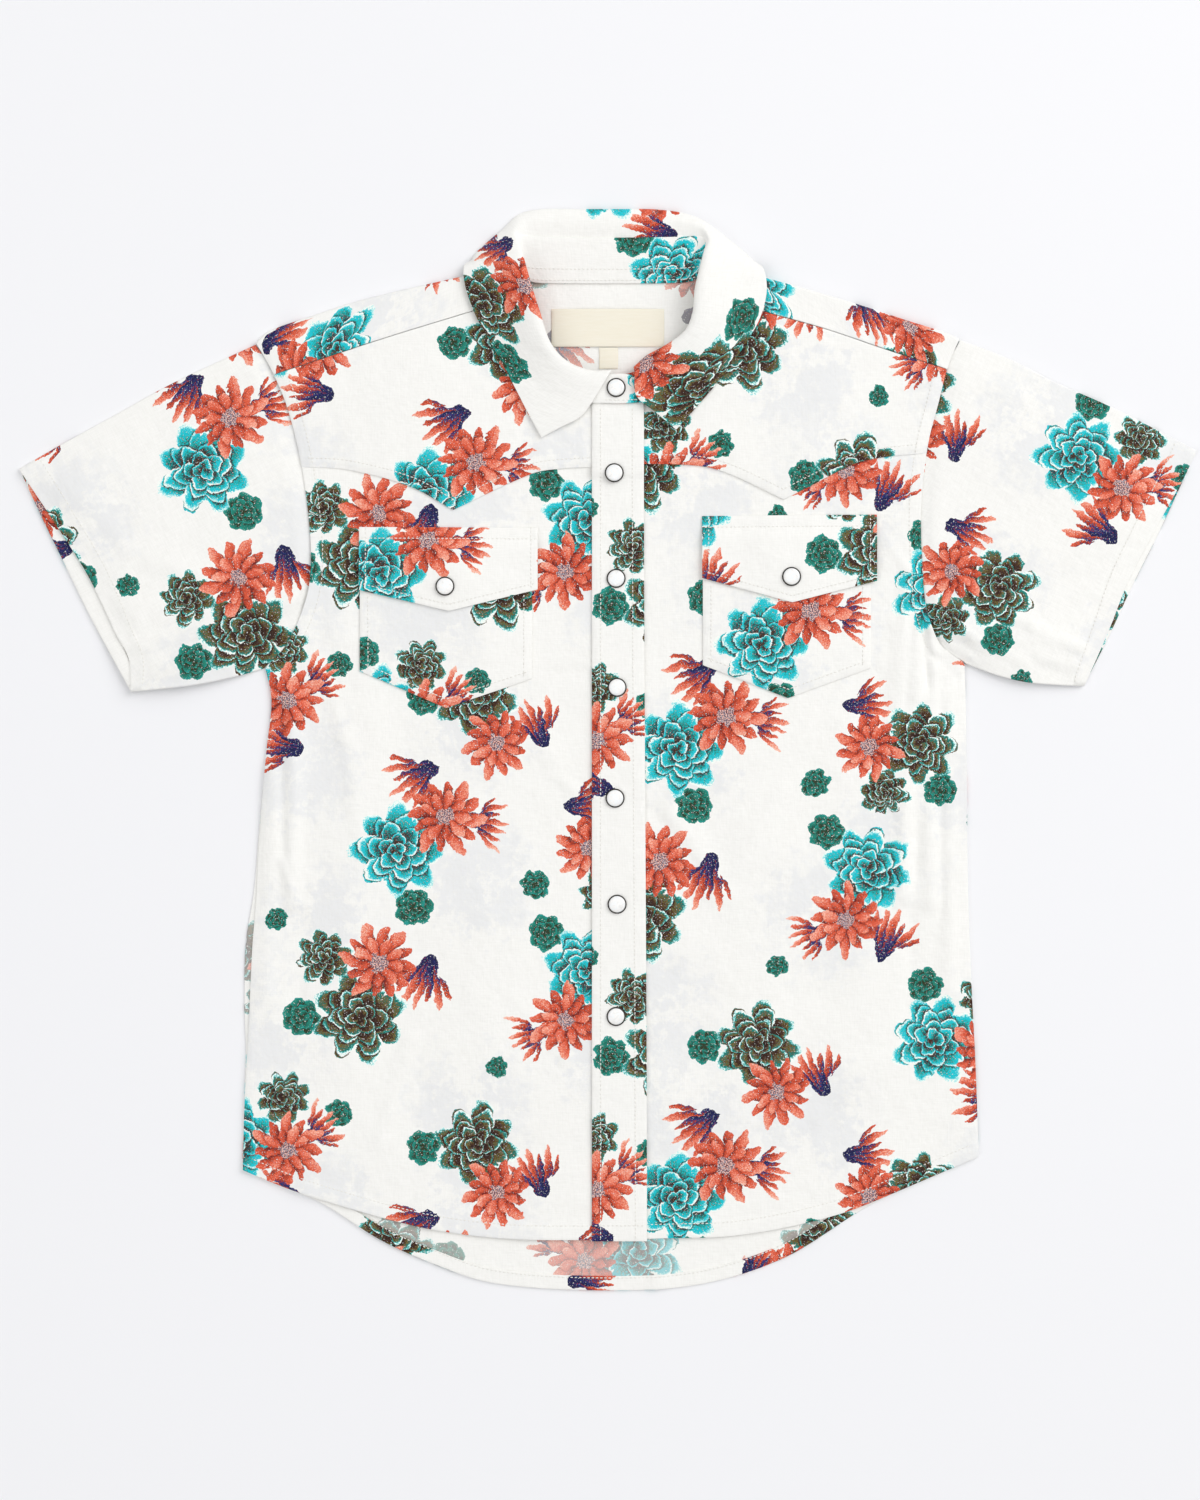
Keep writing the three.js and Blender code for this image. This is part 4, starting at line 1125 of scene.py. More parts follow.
# The back yoke's rows of (point, flat place): the back, the turn over the shoulder and the strip
# in front.
backRows = shares([0, 0.5, 1], [14, 26])
rim = []
for u in shares([-1, -0.293, 0.305, 1], [48, 40, 48]):
    side = "left" if u < 0 else "right"
    x = abs(u) * armX[side](196.8 if u < 0 else 199.2)
    rim.append((u, side, x, foldY(x), foldY(x) - cloth["turn"] - cloth["thick"] / 2))
yokeRows = []
for v in backRows:
    row = []
    for i, (u, side, x, y, foldStart) in enumerate(rim):
        isNeck = yoke["neck"][0] < i < yoke["neck"][1]
        at = mix(settle(backSeamY, u, side, yoke["seam"]), y if isNeck else foldStart, v)
        here = abs(u) * armX[side](at)
        wave = backLift(here, at) * ease((150 - abs(here)) / 14) * ease(v * 5) * ease((1 - v) * 7)
        row.append(((here, at, cloth["floor"] + wave), (yoke["shift"][0] - here, at + yoke["shift"][1])))
    yokeRows.append(row)
for k in range(1, 9):
    a = k / 9 * math.pi
    row = []
    for u, side, x, y, foldStart in rim:
        at = foldStart + cloth["turn"] * math.sin(a)
        point = (abs(u) * armX[side](at), at, cloth["floor"] + cloth["turn"] * (1 - math.cos(a)))
        row.append((point, (yoke["shift"][0] - x, y + yoke["shift"][1] + cloth["turn"] * (a - 1))))
    yokeRows.append(row)
for v in shares([0, 1], [14]):
    row = []
    for u, side, x, y, foldStart in rim:
        seam = settle(seamY[side], u, side, seamY[side](x)) + 0.25
        at = mix(foldStart, seam, v)
        here = abs(u) * armX[side](at)
        top, low = cloth["floor"] + 2 * cloth["turn"], bodyHeight(here, at) + cloth["layer"]
        d = (1 - v) * yoke["strip"]
        level = mix(top, low, ease(v * 1.4)) + (allowance(d, 1.5, 1.5, 0.18) + ripple(here, d - 3.5, 0.07))
        arm = abs(abs(armX[side](at)) - abs(here))
        level = max(2.2, level + 1.7 * pressed(arm, 6.5) * ease(v * 2))
        row.append(((here, at, level), (yoke["shift"][0] - x, y + yoke["shift"][1] + 3 + (y - at) * 1.02)))
    yokeRows.append(row)
sheet(
    "cloth_back_yoke", "back_yoke", [[p for p, _ in row] for row in yokeRows],
    [[q for _, q in row] for row in yokeRows], ["yoke_left", "yoke_right"], held="folded", down=True,
    keep=lambda j, i: j >= len(yokeRows) - len(backRows) or i < yoke["neck"][0] or i >= yoke["neck"][1],
)

# Fronts, with their pointed yokes. The shares across crowd towards the arms.
frontEnd = band["left"] + band["under"]
frontEdges = {"left": (armX["left"], fixed(frontEnd)), "right": (fixed(frontEnd + 0.6), armX["right"])}
frontAcross = {"left": [1 - u for u in crowd(84)][::-1], "right": crowd(92)}
frontShift = {"left": (3, 12), "right": (71, -37)}
yokeAcross = {"left": shares([0, 0.494, 1], [40, 40]), "right": shares([0, 0.566, 1], [44, 40])}
yokeShift = {"left": (-12, 58), "right": (22, -95)}
for side, edges in frontEdges.items():
    grid = panel(frontAcross[side], shares([0, 0.06, 1], [14, 170]), *edges, hemFrontY,
                 lambda x: yokeEdgeY[side](x) + cloth["tuck"], frontHeight)
    sheet("cloth_front_" + side, "front_" + side, grid, planFlat(grid, frontShift[side]), ["back_panel"])
for side, edges in frontEdges.items():
    grid = panel(yokeAcross[side], shares([0, 0.12, 1], [8, 44]), *edges, yokeEdgeY[side], yokeTopY[side],
                 yokeHeight)
    sheet("cloth_yoke_" + side, "yoke_" + side, grid, planFlat(grid, yokeShift[side]), ["front_" + side])

# Snap band.
grid = panel(shares([0, 1], [22]), shares([0, 0.9, 0.96, 1], [190, 24, 8]), fixed(band["left"]), bandRight,
             fixed(band["low"]), fixed(band["top"] + band["overlap"]), bandHeight)
sheet("cloth_snap_band", "snap_band", grid, planFlat(grid, (57, 31)), ["front_left", "front_right"],
      looks=(firmFace, inside))


# Pockets and flaps.
def pointed(kind, side, p, height, columns, rows, looks, on):
    share = (p["tipX"] - p["x0"]) / (p["x1"] - p["x0"])
    grid = panel(shares([0, share, 1], [columns, columns]), shares([0, 1], [rows]), fixed(p["x0"]),
                 fixed(p["x1"]), pointedEdge(p), lambda x: topEdge(p, x), height)
    name = kind + "_" + side
    sheet("cloth_" + name, name, grid, planFlat(grid, p["shift"]), [on + side], looks=looks)


for side in ("left", "right"):
    pointed("pocket", side, pockets[side], pocketHeight, 26, 40, (face, inside), "front_")
    pointed("flap", side, flaps[side], flapHeight, 28, 30, (firmFace, inside), "pocket_")
print("body ready")

# Sleeves: flattened tubes, sewn under the arm, open at the cuff.
sleeves = {
    "left": {
        "sign": -1,
        "grain": -0.48,
        "shift": (12, -30),
        "curl": (4.6, 0.62),
        "upper": [(-171.2, 196.9), (-211.9, 178.0), (-241.5, 161.6), (-263.8, 149.4), (-286.0, 136.6)],
        "lower": [(-167.2, 39.6), (-181.4, 35.4), (-200.3, 31.4), (-218.0, 29.4), (-231.3, 28.2)],
        "front": [(-286.0, 136.6), (-268.7, 110.6), (-252.0, 84.0), (-238.5, 56.0),
                  (-232.2, 44.0), (-231.3, 28.2)],
        "back": [(-286.0, 136.6), (-276.4, 115.4), (-263.4, 88.3), (-252.2, 65.0),
                 (-242.0, 46.1), (-232.3, 28.6)],
    },
    "right": {
        "sign": 1,
        "grain": 0.44,
        "shift": (84, 33),
        "curl": (2.0, 0.55),
        "upper": [(171.0, 199.2), (194.5, 190.1), (217.8, 178.4), (244.9, 166.4), (286.0, 145.4)],
        "lower": [(173.9, 42.0), (189.2, 36.2), (203.2, 32.8), (219.0, 31.4), (231.0, 31.0)],
        "front": [(286.0, 145.4), (279.0, 131.4), (265.3, 106.6), (252.8, 82.8),
                  (243.2, 58.6), (231.0, 31.0)],
        "back": [(286.0, 145.4), (279.6, 131.0), (268.8, 107.0), (255.8, 80.0),
                 (245.4, 57.0), (232.6, 31.0)],
    },
}


def sleevePlan(side):
    # A function of layer, u from the armhole to the cuff and w from the top fold to the underarm.
    s = sleeves[side]
    arm = armLeft if side == "left" else armRight
    top, low = arm[0][1], arm[-1][1]

    def seam(w):
        y = mix(top, low, w)
        return Vector((armX[side](y) + s["sign"] * 0.25, y))

    upper, lower = path(s["upper"]), path(s["lower"])
    cuffs = {"front": path(s["front"]), "back": path(s["back"])}

    def plan(layer, u, w):
        cuff = cuffs[layer]
        p = seam(w) * (1 - u) + cuff(w) * u + upper(u) * (1 - w) + lower(u) * w
        corners = seam(0) * ((1 - u) * (1 - w)) + cuff(0) * (u * (1 - w))
        return p - corners - seam(1) * ((1 - u) * w) - cuff(1) * (u * w)

    return plan


def curl(side, u, w):
    # How far the underarm edge near the cuff stands off the floor.
    high, middle = sleeves[side]["curl"]
    return high * bell(u - middle, 0.42) * ease(u * 5) * ease((w - 0.66) / 0.34)


def sleeveHeight(x, y, u, w, span):
    up = lift(x, y) * 0.8 + foldHeight(creases, x, y) + waves(x, y)
    soft = ease(w * 9) * ease((1 - w) * 9)
    hem = allowance((1 - u) * span, 9.0, 1.2, 0.26) + ripple(w * 120, (1 - u) * span - sewing["cuff"])
    sewn = 1 - ease((u * span - 0.6) / 5.5)
    cuff = ease((1 - u) * span / 14)
    top = cloth["floor"] + 2 * cloth["sleeveTurn"] + 0.2 * soft + (1.0 + max(-1.0, up)) * soft * cuff + hem
    return mix(top, 1.2, sewn * ease(w * 14) * ease((1 - w) * 14))


sleevePlans = {side: sleevePlan(side) for side in sleeves}


def sleeveSpan(side, layer):
    plan = sleevePlans[side]
    return (plan(layer, 0, 0.5) - plan(layer, 1, 0.5)).length


def alongGrain(s, p):
    # A point of the plan in the sleeve's own cut: along its grain and across it.
    c, q = math.cos(s["grain"]), math.sin(s["grain"])
    return p.x * c - p.y * q, p.x * q + p.y * c


def sleeveRow(side, u, span):
    # Points and flat places round the flat tube at share u: over the top layer and back below it.
    s, plan, turn = sleeves[side], sleevePlans[side], cloth["sleeveTurn"]
    inset, middle = turn + cloth["thick"] / 2, cloth["floor"] + turn
    edge = inset / (plan("front", u, 0) - plan("front", u, 1)).length
    ridge = alongGrain(s, plan("front", u, 0))[1]
    cells = []

    def add(layer, w, z, below=False):
        p = plan(layer, u, w)
        # The top layer starts a little way under the body's edge.
        under = 1.3 * max(0.0, 1 - u * span / 4) * ease(w * 14) * ease((1 - w) * 14) * (layer == "front")
        along, over = alongGrain(s, plan("front", u, w))
        if below:
            over = 2 * ridge - over + 2.6
        point = (p.x - s["sign"] * under, p.y, z + curl(side, u, w))
        cells.append((point, (along + s["shift"][0], over + s["shift"][1])))

    for a in (0.15, 0.5, 0.85):
        angle = a * math.pi / 2
        w = 1 - edge + edge * turn * math.cos(angle) / inset
        add("front", w, middle + turn * math.sin(angle) * 0.98 + 0.05)
    for t in shares([1, 0], [60]):
        w = mix(edge, 1 - edge, t)
        p = plan("front", u, w)
        add("front", w, sleeveHeight(p.x, p.y, u, w, span))
    for k in range(1, 8):
        angle = k / 8 * math.pi
        w = edge - edge * turn * math.sin(angle) / inset
        add("front" if k < 4 else "back", w, middle + turn * math.cos(angle), k >= 4)
    for t in shares([0, 1], [40]):
        w = mix(edge, 1 - edge, t)
        p = plan("back", u, w)
        soft = ease(t * 6) * ease((1 - t) * 6) * ease(u * 6) * ease((0.84 - u) * 12)
        add("back", w, cloth["floor"] + 1.6 * backLift(p.x, p.y) * soft, True)
    for a in (0.85, 0.5, 0.15):
        angle = a * math.pi / 2
        w = 1 - edge + edge * turn * math.cos(angle) / inset
        add("back", w, middle - turn * math.sin(angle) * 0.98 - 0.05, True)
    return cells


for side, s in sleeves.items():
    rows = [sleeveRow(side, u, sleeveSpan(side, "front")) for u in shares([0, 0.86, 1], [44, 12])]
    grid, flat = ([[cell[k] for cell in row] for row in rows] for k in (0, 1))
    sheet("cloth_sleeve_" + side, "sleeve_" + side, grid, flat, ["back_panel"], held="folded",
          down=s["sign"] > 0, hems=["cloth_cuff_hem_" + side])
print("sleeves ready")

# Collar sections round the neck, those of the CAD part and two more: the stand's sewn edge, the seam
# at its top, the leaf's turn on the way out and its free edge, then lip and height of the roll. The
# short rows are the ends of the stand, past the leaf.
collar = [
    ((16.9, 168.4, 5.7), (14.6, 180.8, 5.75)),
    ((9.0, 167.9, 5.7), (8.6, 182.6, 5.8)),
    ((1.0, 167.9, 5.7), (1.0, 182.4, 5.8), (-13, 161.6, 6.4), (-32.2, 151.4, 4.8), 1.2, 8.0),
    ((-11.0, 168.6, 5.0), (-10.0, 182.8, 5.8), (-27.0, 170.4, 6.0), (-38.6, 163.0, 4.8), 1.2, 8.2),
    ((-27.0, 174.0, 4.5), (-21.6, 187.6, 6.8), (-38.5, 182.0, 6.2), (-47.6, 180.6, 4.8), 1.2, 9.6),
    ((-41.0, 185.6, 4.5), (-29.2, 196.2, 8.6), (-46.5, 196.0, 6.8), (-56.2, 196.4, 4.9), 1.2, 11.4),
    ((-48.6, 202.0, 4.5), (-34.4, 211.4, 10.0), (-53.5, 211.0, 7.2), (-64.5, 211.5, 5.0), 1.1, 12.8),
    ((-51.6, 218.0, 4.4), (-38.4, 224.0, 10.6), (-57.5, 225.0, 7.4), (-69.2, 225.5, 5.0), 1.1, 13.4),
    ((-49.0, 229.6, 4.6), (-41.0, 234.0, 10.4), (-58.5, 234.6, 7.2), (-69.8, 233.6, 4.9), 0.9, 12.8),
    ((-46.8, 230.6, 4.3), (-41.7, 237.5, 9.8), (-64.4, 237.9, 4.4), (-67.9, 236.4, 2.0), 0.65, 11.8),
    ((-44.6, 231.2, 4.0), (-42.4, 241.0, 9.0), (-65.4, 239.2, 2.2), (-60.5, 237.0, 0.5), 0.4, 10.6),
    ((-40.6, 228.8, 2.8), (-43.0, 246.2, 6.8), (-58.5, 246.0, 2.0), (-52.6, 240.4, 0.5), -0.8, 7.8),
    ((-37.4, 227.4, 1.8), (-42.6, 249.2, 5.2), (-50.8, 252.6, 1.9), (-46.0, 239.6, 0.5), -1.8, 5.8),
    ((-34.0, 226.8, 1.5), (-39.6, 249.6, 4.2), (-43.2, 259.6, 1.9), (-40.6, 238.6, 0.5), -3.0, 4.4),
    ((-28.0, 226.6, 1.5), (-32.0, 249.4, 3.4), (-33.0, 262.0, 1.9), (-32.0, 238.0, 0.5), -4.0, 3.7),
    ((-12.0, 226.5, 1.5), (-14.0, 249.0, 3.1), (-14.0, 262.1, 1.9), (-14.0, 237.6, 0.5), -4.0, 3.5),
    ((4.0, 226.5, 1.5), (4.0, 249.0, 3.1), (4.0, 262.1, 1.9), (4.0, 237.6, 0.5), -4.0, 3.5),
    ((20.0, 226.6, 1.5), (22.0, 249.2, 3.1), (22.0, 262.0, 1.9), (21.0, 237.8, 0.5), -4.0, 3.5),
    ((34.0, 226.9, 1.5), (37.0, 249.4, 3.6), (37.4, 260.0, 1.9), (36.0, 238.4, 0.5), -3.6, 3.9),
    ((39.6, 227.4, 1.8), (44.6, 249.4, 4.4), (46.4, 256.4, 1.9), (44.4, 239.2, 0.5), -2.0, 4.8),
    ((43.6, 228.8, 2.8), (47.6, 246.8, 6.4), (57.0, 248.6, 2.0), (52.8, 240.6, 0.5), -0.8, 7.4),
    ((47.0, 231.4, 4.0), (47.0, 240.6, 9.0), (68.0, 239.4, 2.2), (62.5, 237.2, 0.5), 0.4, 10.6),
    ((49.0, 230.8, 4.3), (46.2, 236.6, 9.8), (68.6, 237.8, 4.4), (72.6, 235.6, 2.0), 0.65, 11.8),
    ((51.0, 230.0, 4.6), (45.4, 232.4, 10.4), (64.0, 233.4, 7.2), (75.4, 232.4, 4.9), 0.9, 12.8),
    ((54.6, 219.0, 4.4), (43.2, 221.8, 10.6), (64.0, 222.6, 7.4), (76.8, 223.0, 5.0), 1.1, 13.4),
    ((53.4, 203.0, 4.5), (42.2, 210.6, 10.0), (61.0, 208.6, 7.2), (73.8, 210.0, 5.0), 1.1, 12.8),
    ((45.6, 187.0, 4.5), (38.6, 202.0, 8.6), (56.0, 195.4, 6.8), (66.4, 196.6, 4.9), 1.2, 11.4),
    ((31.6, 175.0, 4.4), (29.6, 195.0, 6.4), (45.0, 182.6, 6.2), (55.0, 180.6, 4.8), 1.2, 9.8),
    ((20.0, 169.8, 4.4), (19.6, 189.4, 4.9), (32.0, 172.0, 6.2), (43.0, 166.4, 4.8), 1.3, 8.6),
    ((12.4, 168.0, 4.4), (12.8, 183.9, 4.4), (13.6, 171.4, 7.4), (33.0, 155.2, 4.8), 1.2, 8.2),
    ((3.0, 167.9, 4.4), (3.4, 182.2, 4.4)),
    ((-5.8, 168.3, 4.4), (-4.0, 181.0, 4.4)),
]


def sections(lists, each, splits):
    # Rows of points through sections of control points, with each rows from one to the next.
    rails = [[r[k] for r in lists] for k in range(len(lists[0]))]
    grid = []
    for j in range((len(lists) - 1) * each + 1):
        controls = [catmull(rail, j / each) for rail in rails]
        row = []
        for k, n in enumerate(splits):
            row += [catmull(controls, k + i / n) for i in range(n)]
        grid.append(row + [controls[-1]])
    return grid


def runFlat(grid, shift, home=0):
    # Flat coordinates of a curved strip: length along one column, and across from it.
    out, along = [], 0.0
    for j, row in enumerate(grid):
        if j:
            along += (row[home] - grid[j - 1][home]).length
        line, over = [], 0.0
        for i, p in enumerate(row):
            if i:
                over += (p - row[i - 1]).length
            line.append((along + shift[0], over + shift[1]))
        out.append(line)
    return out


standLists = []
for r in collar:
    base, top = Vector(r[0]), Vector(r[1])
    end = top + (base - top).normalized() * 0.5
    standLists.append([tuple(base), tuple(base.lerp(end, 0.5)), tuple(end)])
standGrid = sections(standLists, 5, [4, 4])
sheet("cloth_collar_stand", "collar_stand", standGrid, runFlat(standGrid, (5, 120)), ["back_yoke"],
      held="folded", looks=(firmFace, firmFace), thick=0.9)


def leafControls(r):
    seam, out, edge, lip, high = Vector(r[1]), Vector(r[2]), Vector(r[3]), r[4], r[5]
    way = (out - seam).xy.normalized()

    def at(d, z):
        return (seam.x + way.x * d, seam.y + way.y * d, z)

    crest = -2 * lip if lip < 0 else 1.6
    if edge.z < 1:
        home = (edge - out).xy.normalized()
        after = (out.x + home.x * 2.2, out.y + home.y * 2.2, edge.z)
    else:
        after = tuple(out.lerp(edge, 0.5))
    under = ease(-lip / 2.5)
    start = at(-1.4 * under, seam.z - 1.05 * under)
    return [start, at(-lip, (seam.z + high) / 2), at(crest, high), tuple(out), after, tuple(edge)]


leafGrid = sections([leafControls(r) for r in collar if len(r) > 2], 5, [4, 5, 9, 4, 8])
for row in leafGrid:
    for p in row:
        p.z = max(p.z, 0.52)
leafFlat = runFlat(leafGrid, (88, 10), 8)
sheet("cloth_collar_leaf", "collar_leaf", leafGrid, leafFlat, ["collar_stand"], held="folded",
      looks=(firmFace, firmFace), thick=cloth["firm"])
print("collar ready")

# Hem allowances that show: the back hem turned up on the inside, and the cuffs' on the back layer.
turned = {"rows": [0.0, 0.2, 0.5, 0.8, 1.0], "start": 0.15, "wide": 7.0, "cuff": 9.4, "thick": 0.5}
grid = []
for v in turned["rows"]:
    row = []
    for k in range(141):
        x = mix(-174, 176, k / 140)
        y = hemBackY(x) + turned["start"] + turned["wide"] * v
        z = cloth["floor"] + cloth["hem"] + tailFold(x, y)
        row.append((x, y, z + 0.05 * math.sin(x * 0.9)))
    grid.append(row)
sheet("cloth_back_hem", None, grid, planFlat(grid, (backShift[0], backShift[1] - 14), -1), [],
      looks=(firmFace, inside), thick=turned["thick"], strip=True)
for side, s in sleeves.items():
    plan, span = sleevePlans[side], sleeveSpan(side, "back")
    grid, flat = [], []
    for v in turned["rows"]:
        row, line = [], []
        for k in range(61):
            w = mix(0.03, 0.97, k / 60)
            p = plan("back", 1 - turned["start"] / span - turned["cuff"] / span * v, w)
            z = cloth["floor"] + cloth["hem"] + curl(side, 1 - turned["cuff"] / span * v, w)
            row.append((p.x, p.y, z + 0.04 * math.sin(w * 80)))
            along, over = alongGrain(s, p)
            line.append((along + 40, over + 22))
        grid.append(row)
        flat.append(line)
    sheet("cloth_cuff_hem_" + side, None, grid, flat, [], looks=(firmFace, inside),
          thick=turned["thick"], down=s["sign"] > 0, strip=True)

# Labels, blank.
label = {"x": -0.2, "low": 195.8, "wide": 54.8, "tall": 18.4, "bulge": 0.9, "shift": (0, 0)}
tag = {"x": 0.2, "low": 185.1, "wide": 9.2, "tall": 10.4, "bulge": 0.3, "shift": (7, 3)}


def labelSheet(name, node, t, **more):
    grid = []
    for v in shares([0, 1], [12]):
        row = []
        for u in shares([0, 1], [28]):
            x = mix(t["x"] - t["wide"] / 2, t["x"] + t["wide"] / 2, u) + 0.15 * math.sin(v * 3)
            bulge = t["bulge"] * math.sin(u * math.pi) ** 0.6 * (0.6 + 0.4 * v)
            row.append((x, t["low"] + t["tall"] * v, cloth["floor"] + cloth["hem"] + bulge))
        grid.append(row)
    sheet(name, node, grid, planFlat(grid, t["shift"]), ["cloth_back_yoke"], looks=(tape, tape), slot="label",
          thick=0.4, **more)


labelSheet("tape_neck_label", "neck_label", label, hems=["tape_size_tag"])
labelSheet("tape_size_tag", "size_tag", tag, strip=True)
print("labels ready")


# Sewing. Each row is a list of (point, up) pairs on the cloth's surface.
def onCloth(height, points, half=None):
    out = []
    rise = cloth["thick"] / 2 if half is None else half
    for x, y in points:
        z = height(x, y)
        dx = (height(x + 0.6, y) - z) / 0.6
        dy = (height(x, y + 0.6) - z) / 0.6
        up = Vector((-dx, -dy, 1)).normalized()
        out.append((Vector((x, y, z)) + up * rise, up))
    return out


def offsetLine(points, d):
    # The line moved d to its left, with its corners kept.
    out = []
    for k, p in enumerate(points):
        a = Vector(points[max(0, k - 1)])
        b = Vector(points[min(len(points) - 1, k + 1)])
        here = Vector(p)
        first = (here - a).normalized() if k else (b - here).normalized()
        second = (b - here).normalized() if k < len(points) - 1 else first
        both = Vector((-first.y - second.y, first.x + second.x)).normalized()
        bend = max(0.5, both.dot(Vector((-first.y, first.x))))
        out.append(tuple(here + both * (d / bend)))
    return out


def sampled(low, high):
    n = max(2, int(abs(high - low) / 1.5))
    return [mix(low, high, k / n) for k in range(n + 1)]


def alongX(curve, low, high, d):
    return offsetLine([(x, curve(x)) for x in sampled(low, high)], d)


def alongY(curve, low, high, d):
    return offsetLine([(curve(y), y) for y in sampled(low, high)], d)


def alongOutline(height, p, top0, top1, d):
    # Down one side of a pocket or a flap, along its point and up the other side.
    outline = [(p["x0"], top0), (p["x0"], p["side0"]), (p["tipX"], p["tipY"]), (p["x1"], p["side1"]),
               (p["x1"], top1)]
    line = []
    for a, b in zip(map(Vector, outline), map(Vector, outline[1:])):
        n = max(1, int((b - a).length / 1.5))
        line += [tuple(a.lerp(b, k / n)) for k in range(n)]
    return onCloth(height, offsetLine(line + [outline[-1]], d))


def below(points, rise=None):
    # The same rows seen from below.
    low = cloth["floor"] - cloth["thick"] / 2
    rise = rise or [0] * len(points)
    return [(Vector((x, y, low + up)), Vector((0, 0, -1))) for (x, y), up in zip(points, rise)]


def backHemTop(x, y):
    return cloth["floor"] + cloth["hem"] + tailFold(x, y)


body = [
    onCloth(bandHeight, [(band["left"] + sewing["bandLeft"], y) for y in sampled(166, -237)]),
    onCloth(bandHeight, [(bandRight(y) - sewing["bandRight"], y) for y in sampled(166, -237)]),
    onCloth(bandHeight, [(x, band["low"] + sewing["bandLow"]) for x in sampled(-6.8, 17.8)]),
    onCloth(frontHeight, alongX(hemFrontY, -175, -9.5, sewing["hem"])),
    onCloth(frontHeight, alongX(hemFrontY, 20.5, 178, sewing["hem"])),
    onCloth(yokeHeight, alongX(yokeEdgeY["left"], -146, -9, sewing["yoke"])),
    onCloth(yokeHeight, alongX(yokeEdgeY["right"], 19, 151, sewing["yoke"])),
]
for side, low, high, sign in (("left", 181, 52, 1), ("right", 184, 52, -1)):
    points = alongY(armX[side], low, high, sewing["arm"] * sign)
    split = yokeEdgeY[side]
    body.append(onCloth(yokeHeight, [p for p in points if p[1] > split(p[0])]))
    body.append(onCloth(frontHeight, [p for p in points if p[1] <= split(p[0])]))
for side in ("left", "right"):
    p, f = pockets[side], flaps[side]
    body.append(alongOutline(pocketHeight, p, p["top0"] - 16, p["top0"] - 16, sewing["pocket"]))
    body.append(alongOutline(flapHeight, f, f["top0"], f["top1"], sewing["flap"]))
    top = [(x, topEdge(f, x) - sewing["flapTop"]) for x in sampled(f["x0"] + 0.8, f["x1"] - 0.8)]
    body.append(onCloth(flapHeight, top))
body.append(onCloth(backHemTop, alongX(hemBackY, -126, 131, sewing["backHem"]), 0.25))
body.append(below(alongX(hemBackY, -172, 175, sewing["backHem"])))
body.append(below(alongX(backSeamY, -148, 148, sewing["backSeam"])))

cuffs = []
for side in sleeves:
    plan = sleevePlans[side]
    u = 1 - sewing["cuff"] / sleeveSpan(side, "back")
    across = [mix(0.03, 0.97, k / 80) for k in range(81)]
    outer = below([plan("back", u, w) for w in across], [curl(side, u, w) for w in across])
    span = sleeveSpan(side, "front")
    rowFront, rowBack = [], []
    for k in range(81):
        u, w = 1 - sewing["cuff"] / span, mix(0.012, 0.985, k / 80)
        p = plan("front", u, w)
        z = sleeveHeight(p.x, p.y, u, w, span) + cloth["thick"] / 2 + curl(side, u, w)
        rowFront.append((Vector((p.x, p.y, z)), Vector((0, 0, 1))))
        u, w = 1 - sewing["cuffInside"] / span, mix(0.05, 0.95, k / 80)
        p = plan("back", u, w)
        z = cloth["floor"] + cloth["hem"] + turned["thick"] / 2 + curl(side, u, w)
        rowBack.append((Vector((p.x, p.y, z)), Vector((0, 0, 1))))
    cuffs += [outer, rowFront, rowBack]


def onGrid(grid, j, i, side=1, half=0.5):
    # A point and normal on a collar grid at fractional row and column.
    j0, i0 = min(len(grid) - 2, max(0, int(j))), min(len(grid[0]) - 2, max(0, int(i)))
    fj, fi = j - j0, i - i0
    a, b = grid[j0][i0], grid[j0][i0 + 1]
    c, d = grid[j0 + 1][i0], grid[j0 + 1][i0 + 1]
    p = a.lerp(b, fi).lerp(c.lerp(d, fi), fj)
    up = (b - a).cross(c - a).normalized() * side
    return p + up * half, up


def columnAt(row, d):
    # The fractional column d from the free edge.
    left = d
    for i in range(len(row) - 1, 0, -1):
        step = (row[i] - row[i - 1]).length
        if step >= left:
            return i - left / step
        left -= step
    return 0.0


def rowAt(grid, column, start, step, d):
    # The fractional row d along a column from one end.
    left, j = d, start
    while True:
        a = onGrid(grid, j, column, half=0)[0]
        b = onGrid(grid, j + step, column, half=0)[0]
        length = (b - a).length
        if length >= left:
            return j + step * left / length
        left -= length
        j += step


def leafSpot(j, i=None):
    # A place on the leaf at row j, by its column or in from its free edge.
    i = columnAt(leafGrid[int(j)], sewing["leaf"]) if i is None else i
    return onGrid(leafGrid, j, i, half=cloth["firm"] / 2)


last = len(leafGrid) - 1
collarRows = []
for start, step in ((0, 1), (last, -1)):
    line = []
    for k in range(33):
        i = mix(14, 29.2, k / 35)
        j = rowAt(leafGrid, i, start, step, sewing["leafFront"])
        line.append(leafSpot(j, min(i, columnAt(leafGrid[int(j)], sewing["leaf"]))))
    collarRows.append(line)
for low, high in ((3, 34), (last - 34, last - 3)):
    collarRows.append([leafSpot(j) for j in range(low, high + 1)])
for column in (0.55, 2.5):
    collarRows.append([onGrid(standGrid, j, column, -1, 0.45) for j in range(55, 101)])
collarRows.append([onGrid(standGrid, j, 0.9, 1, 0.45) for j in range(0, 12)])


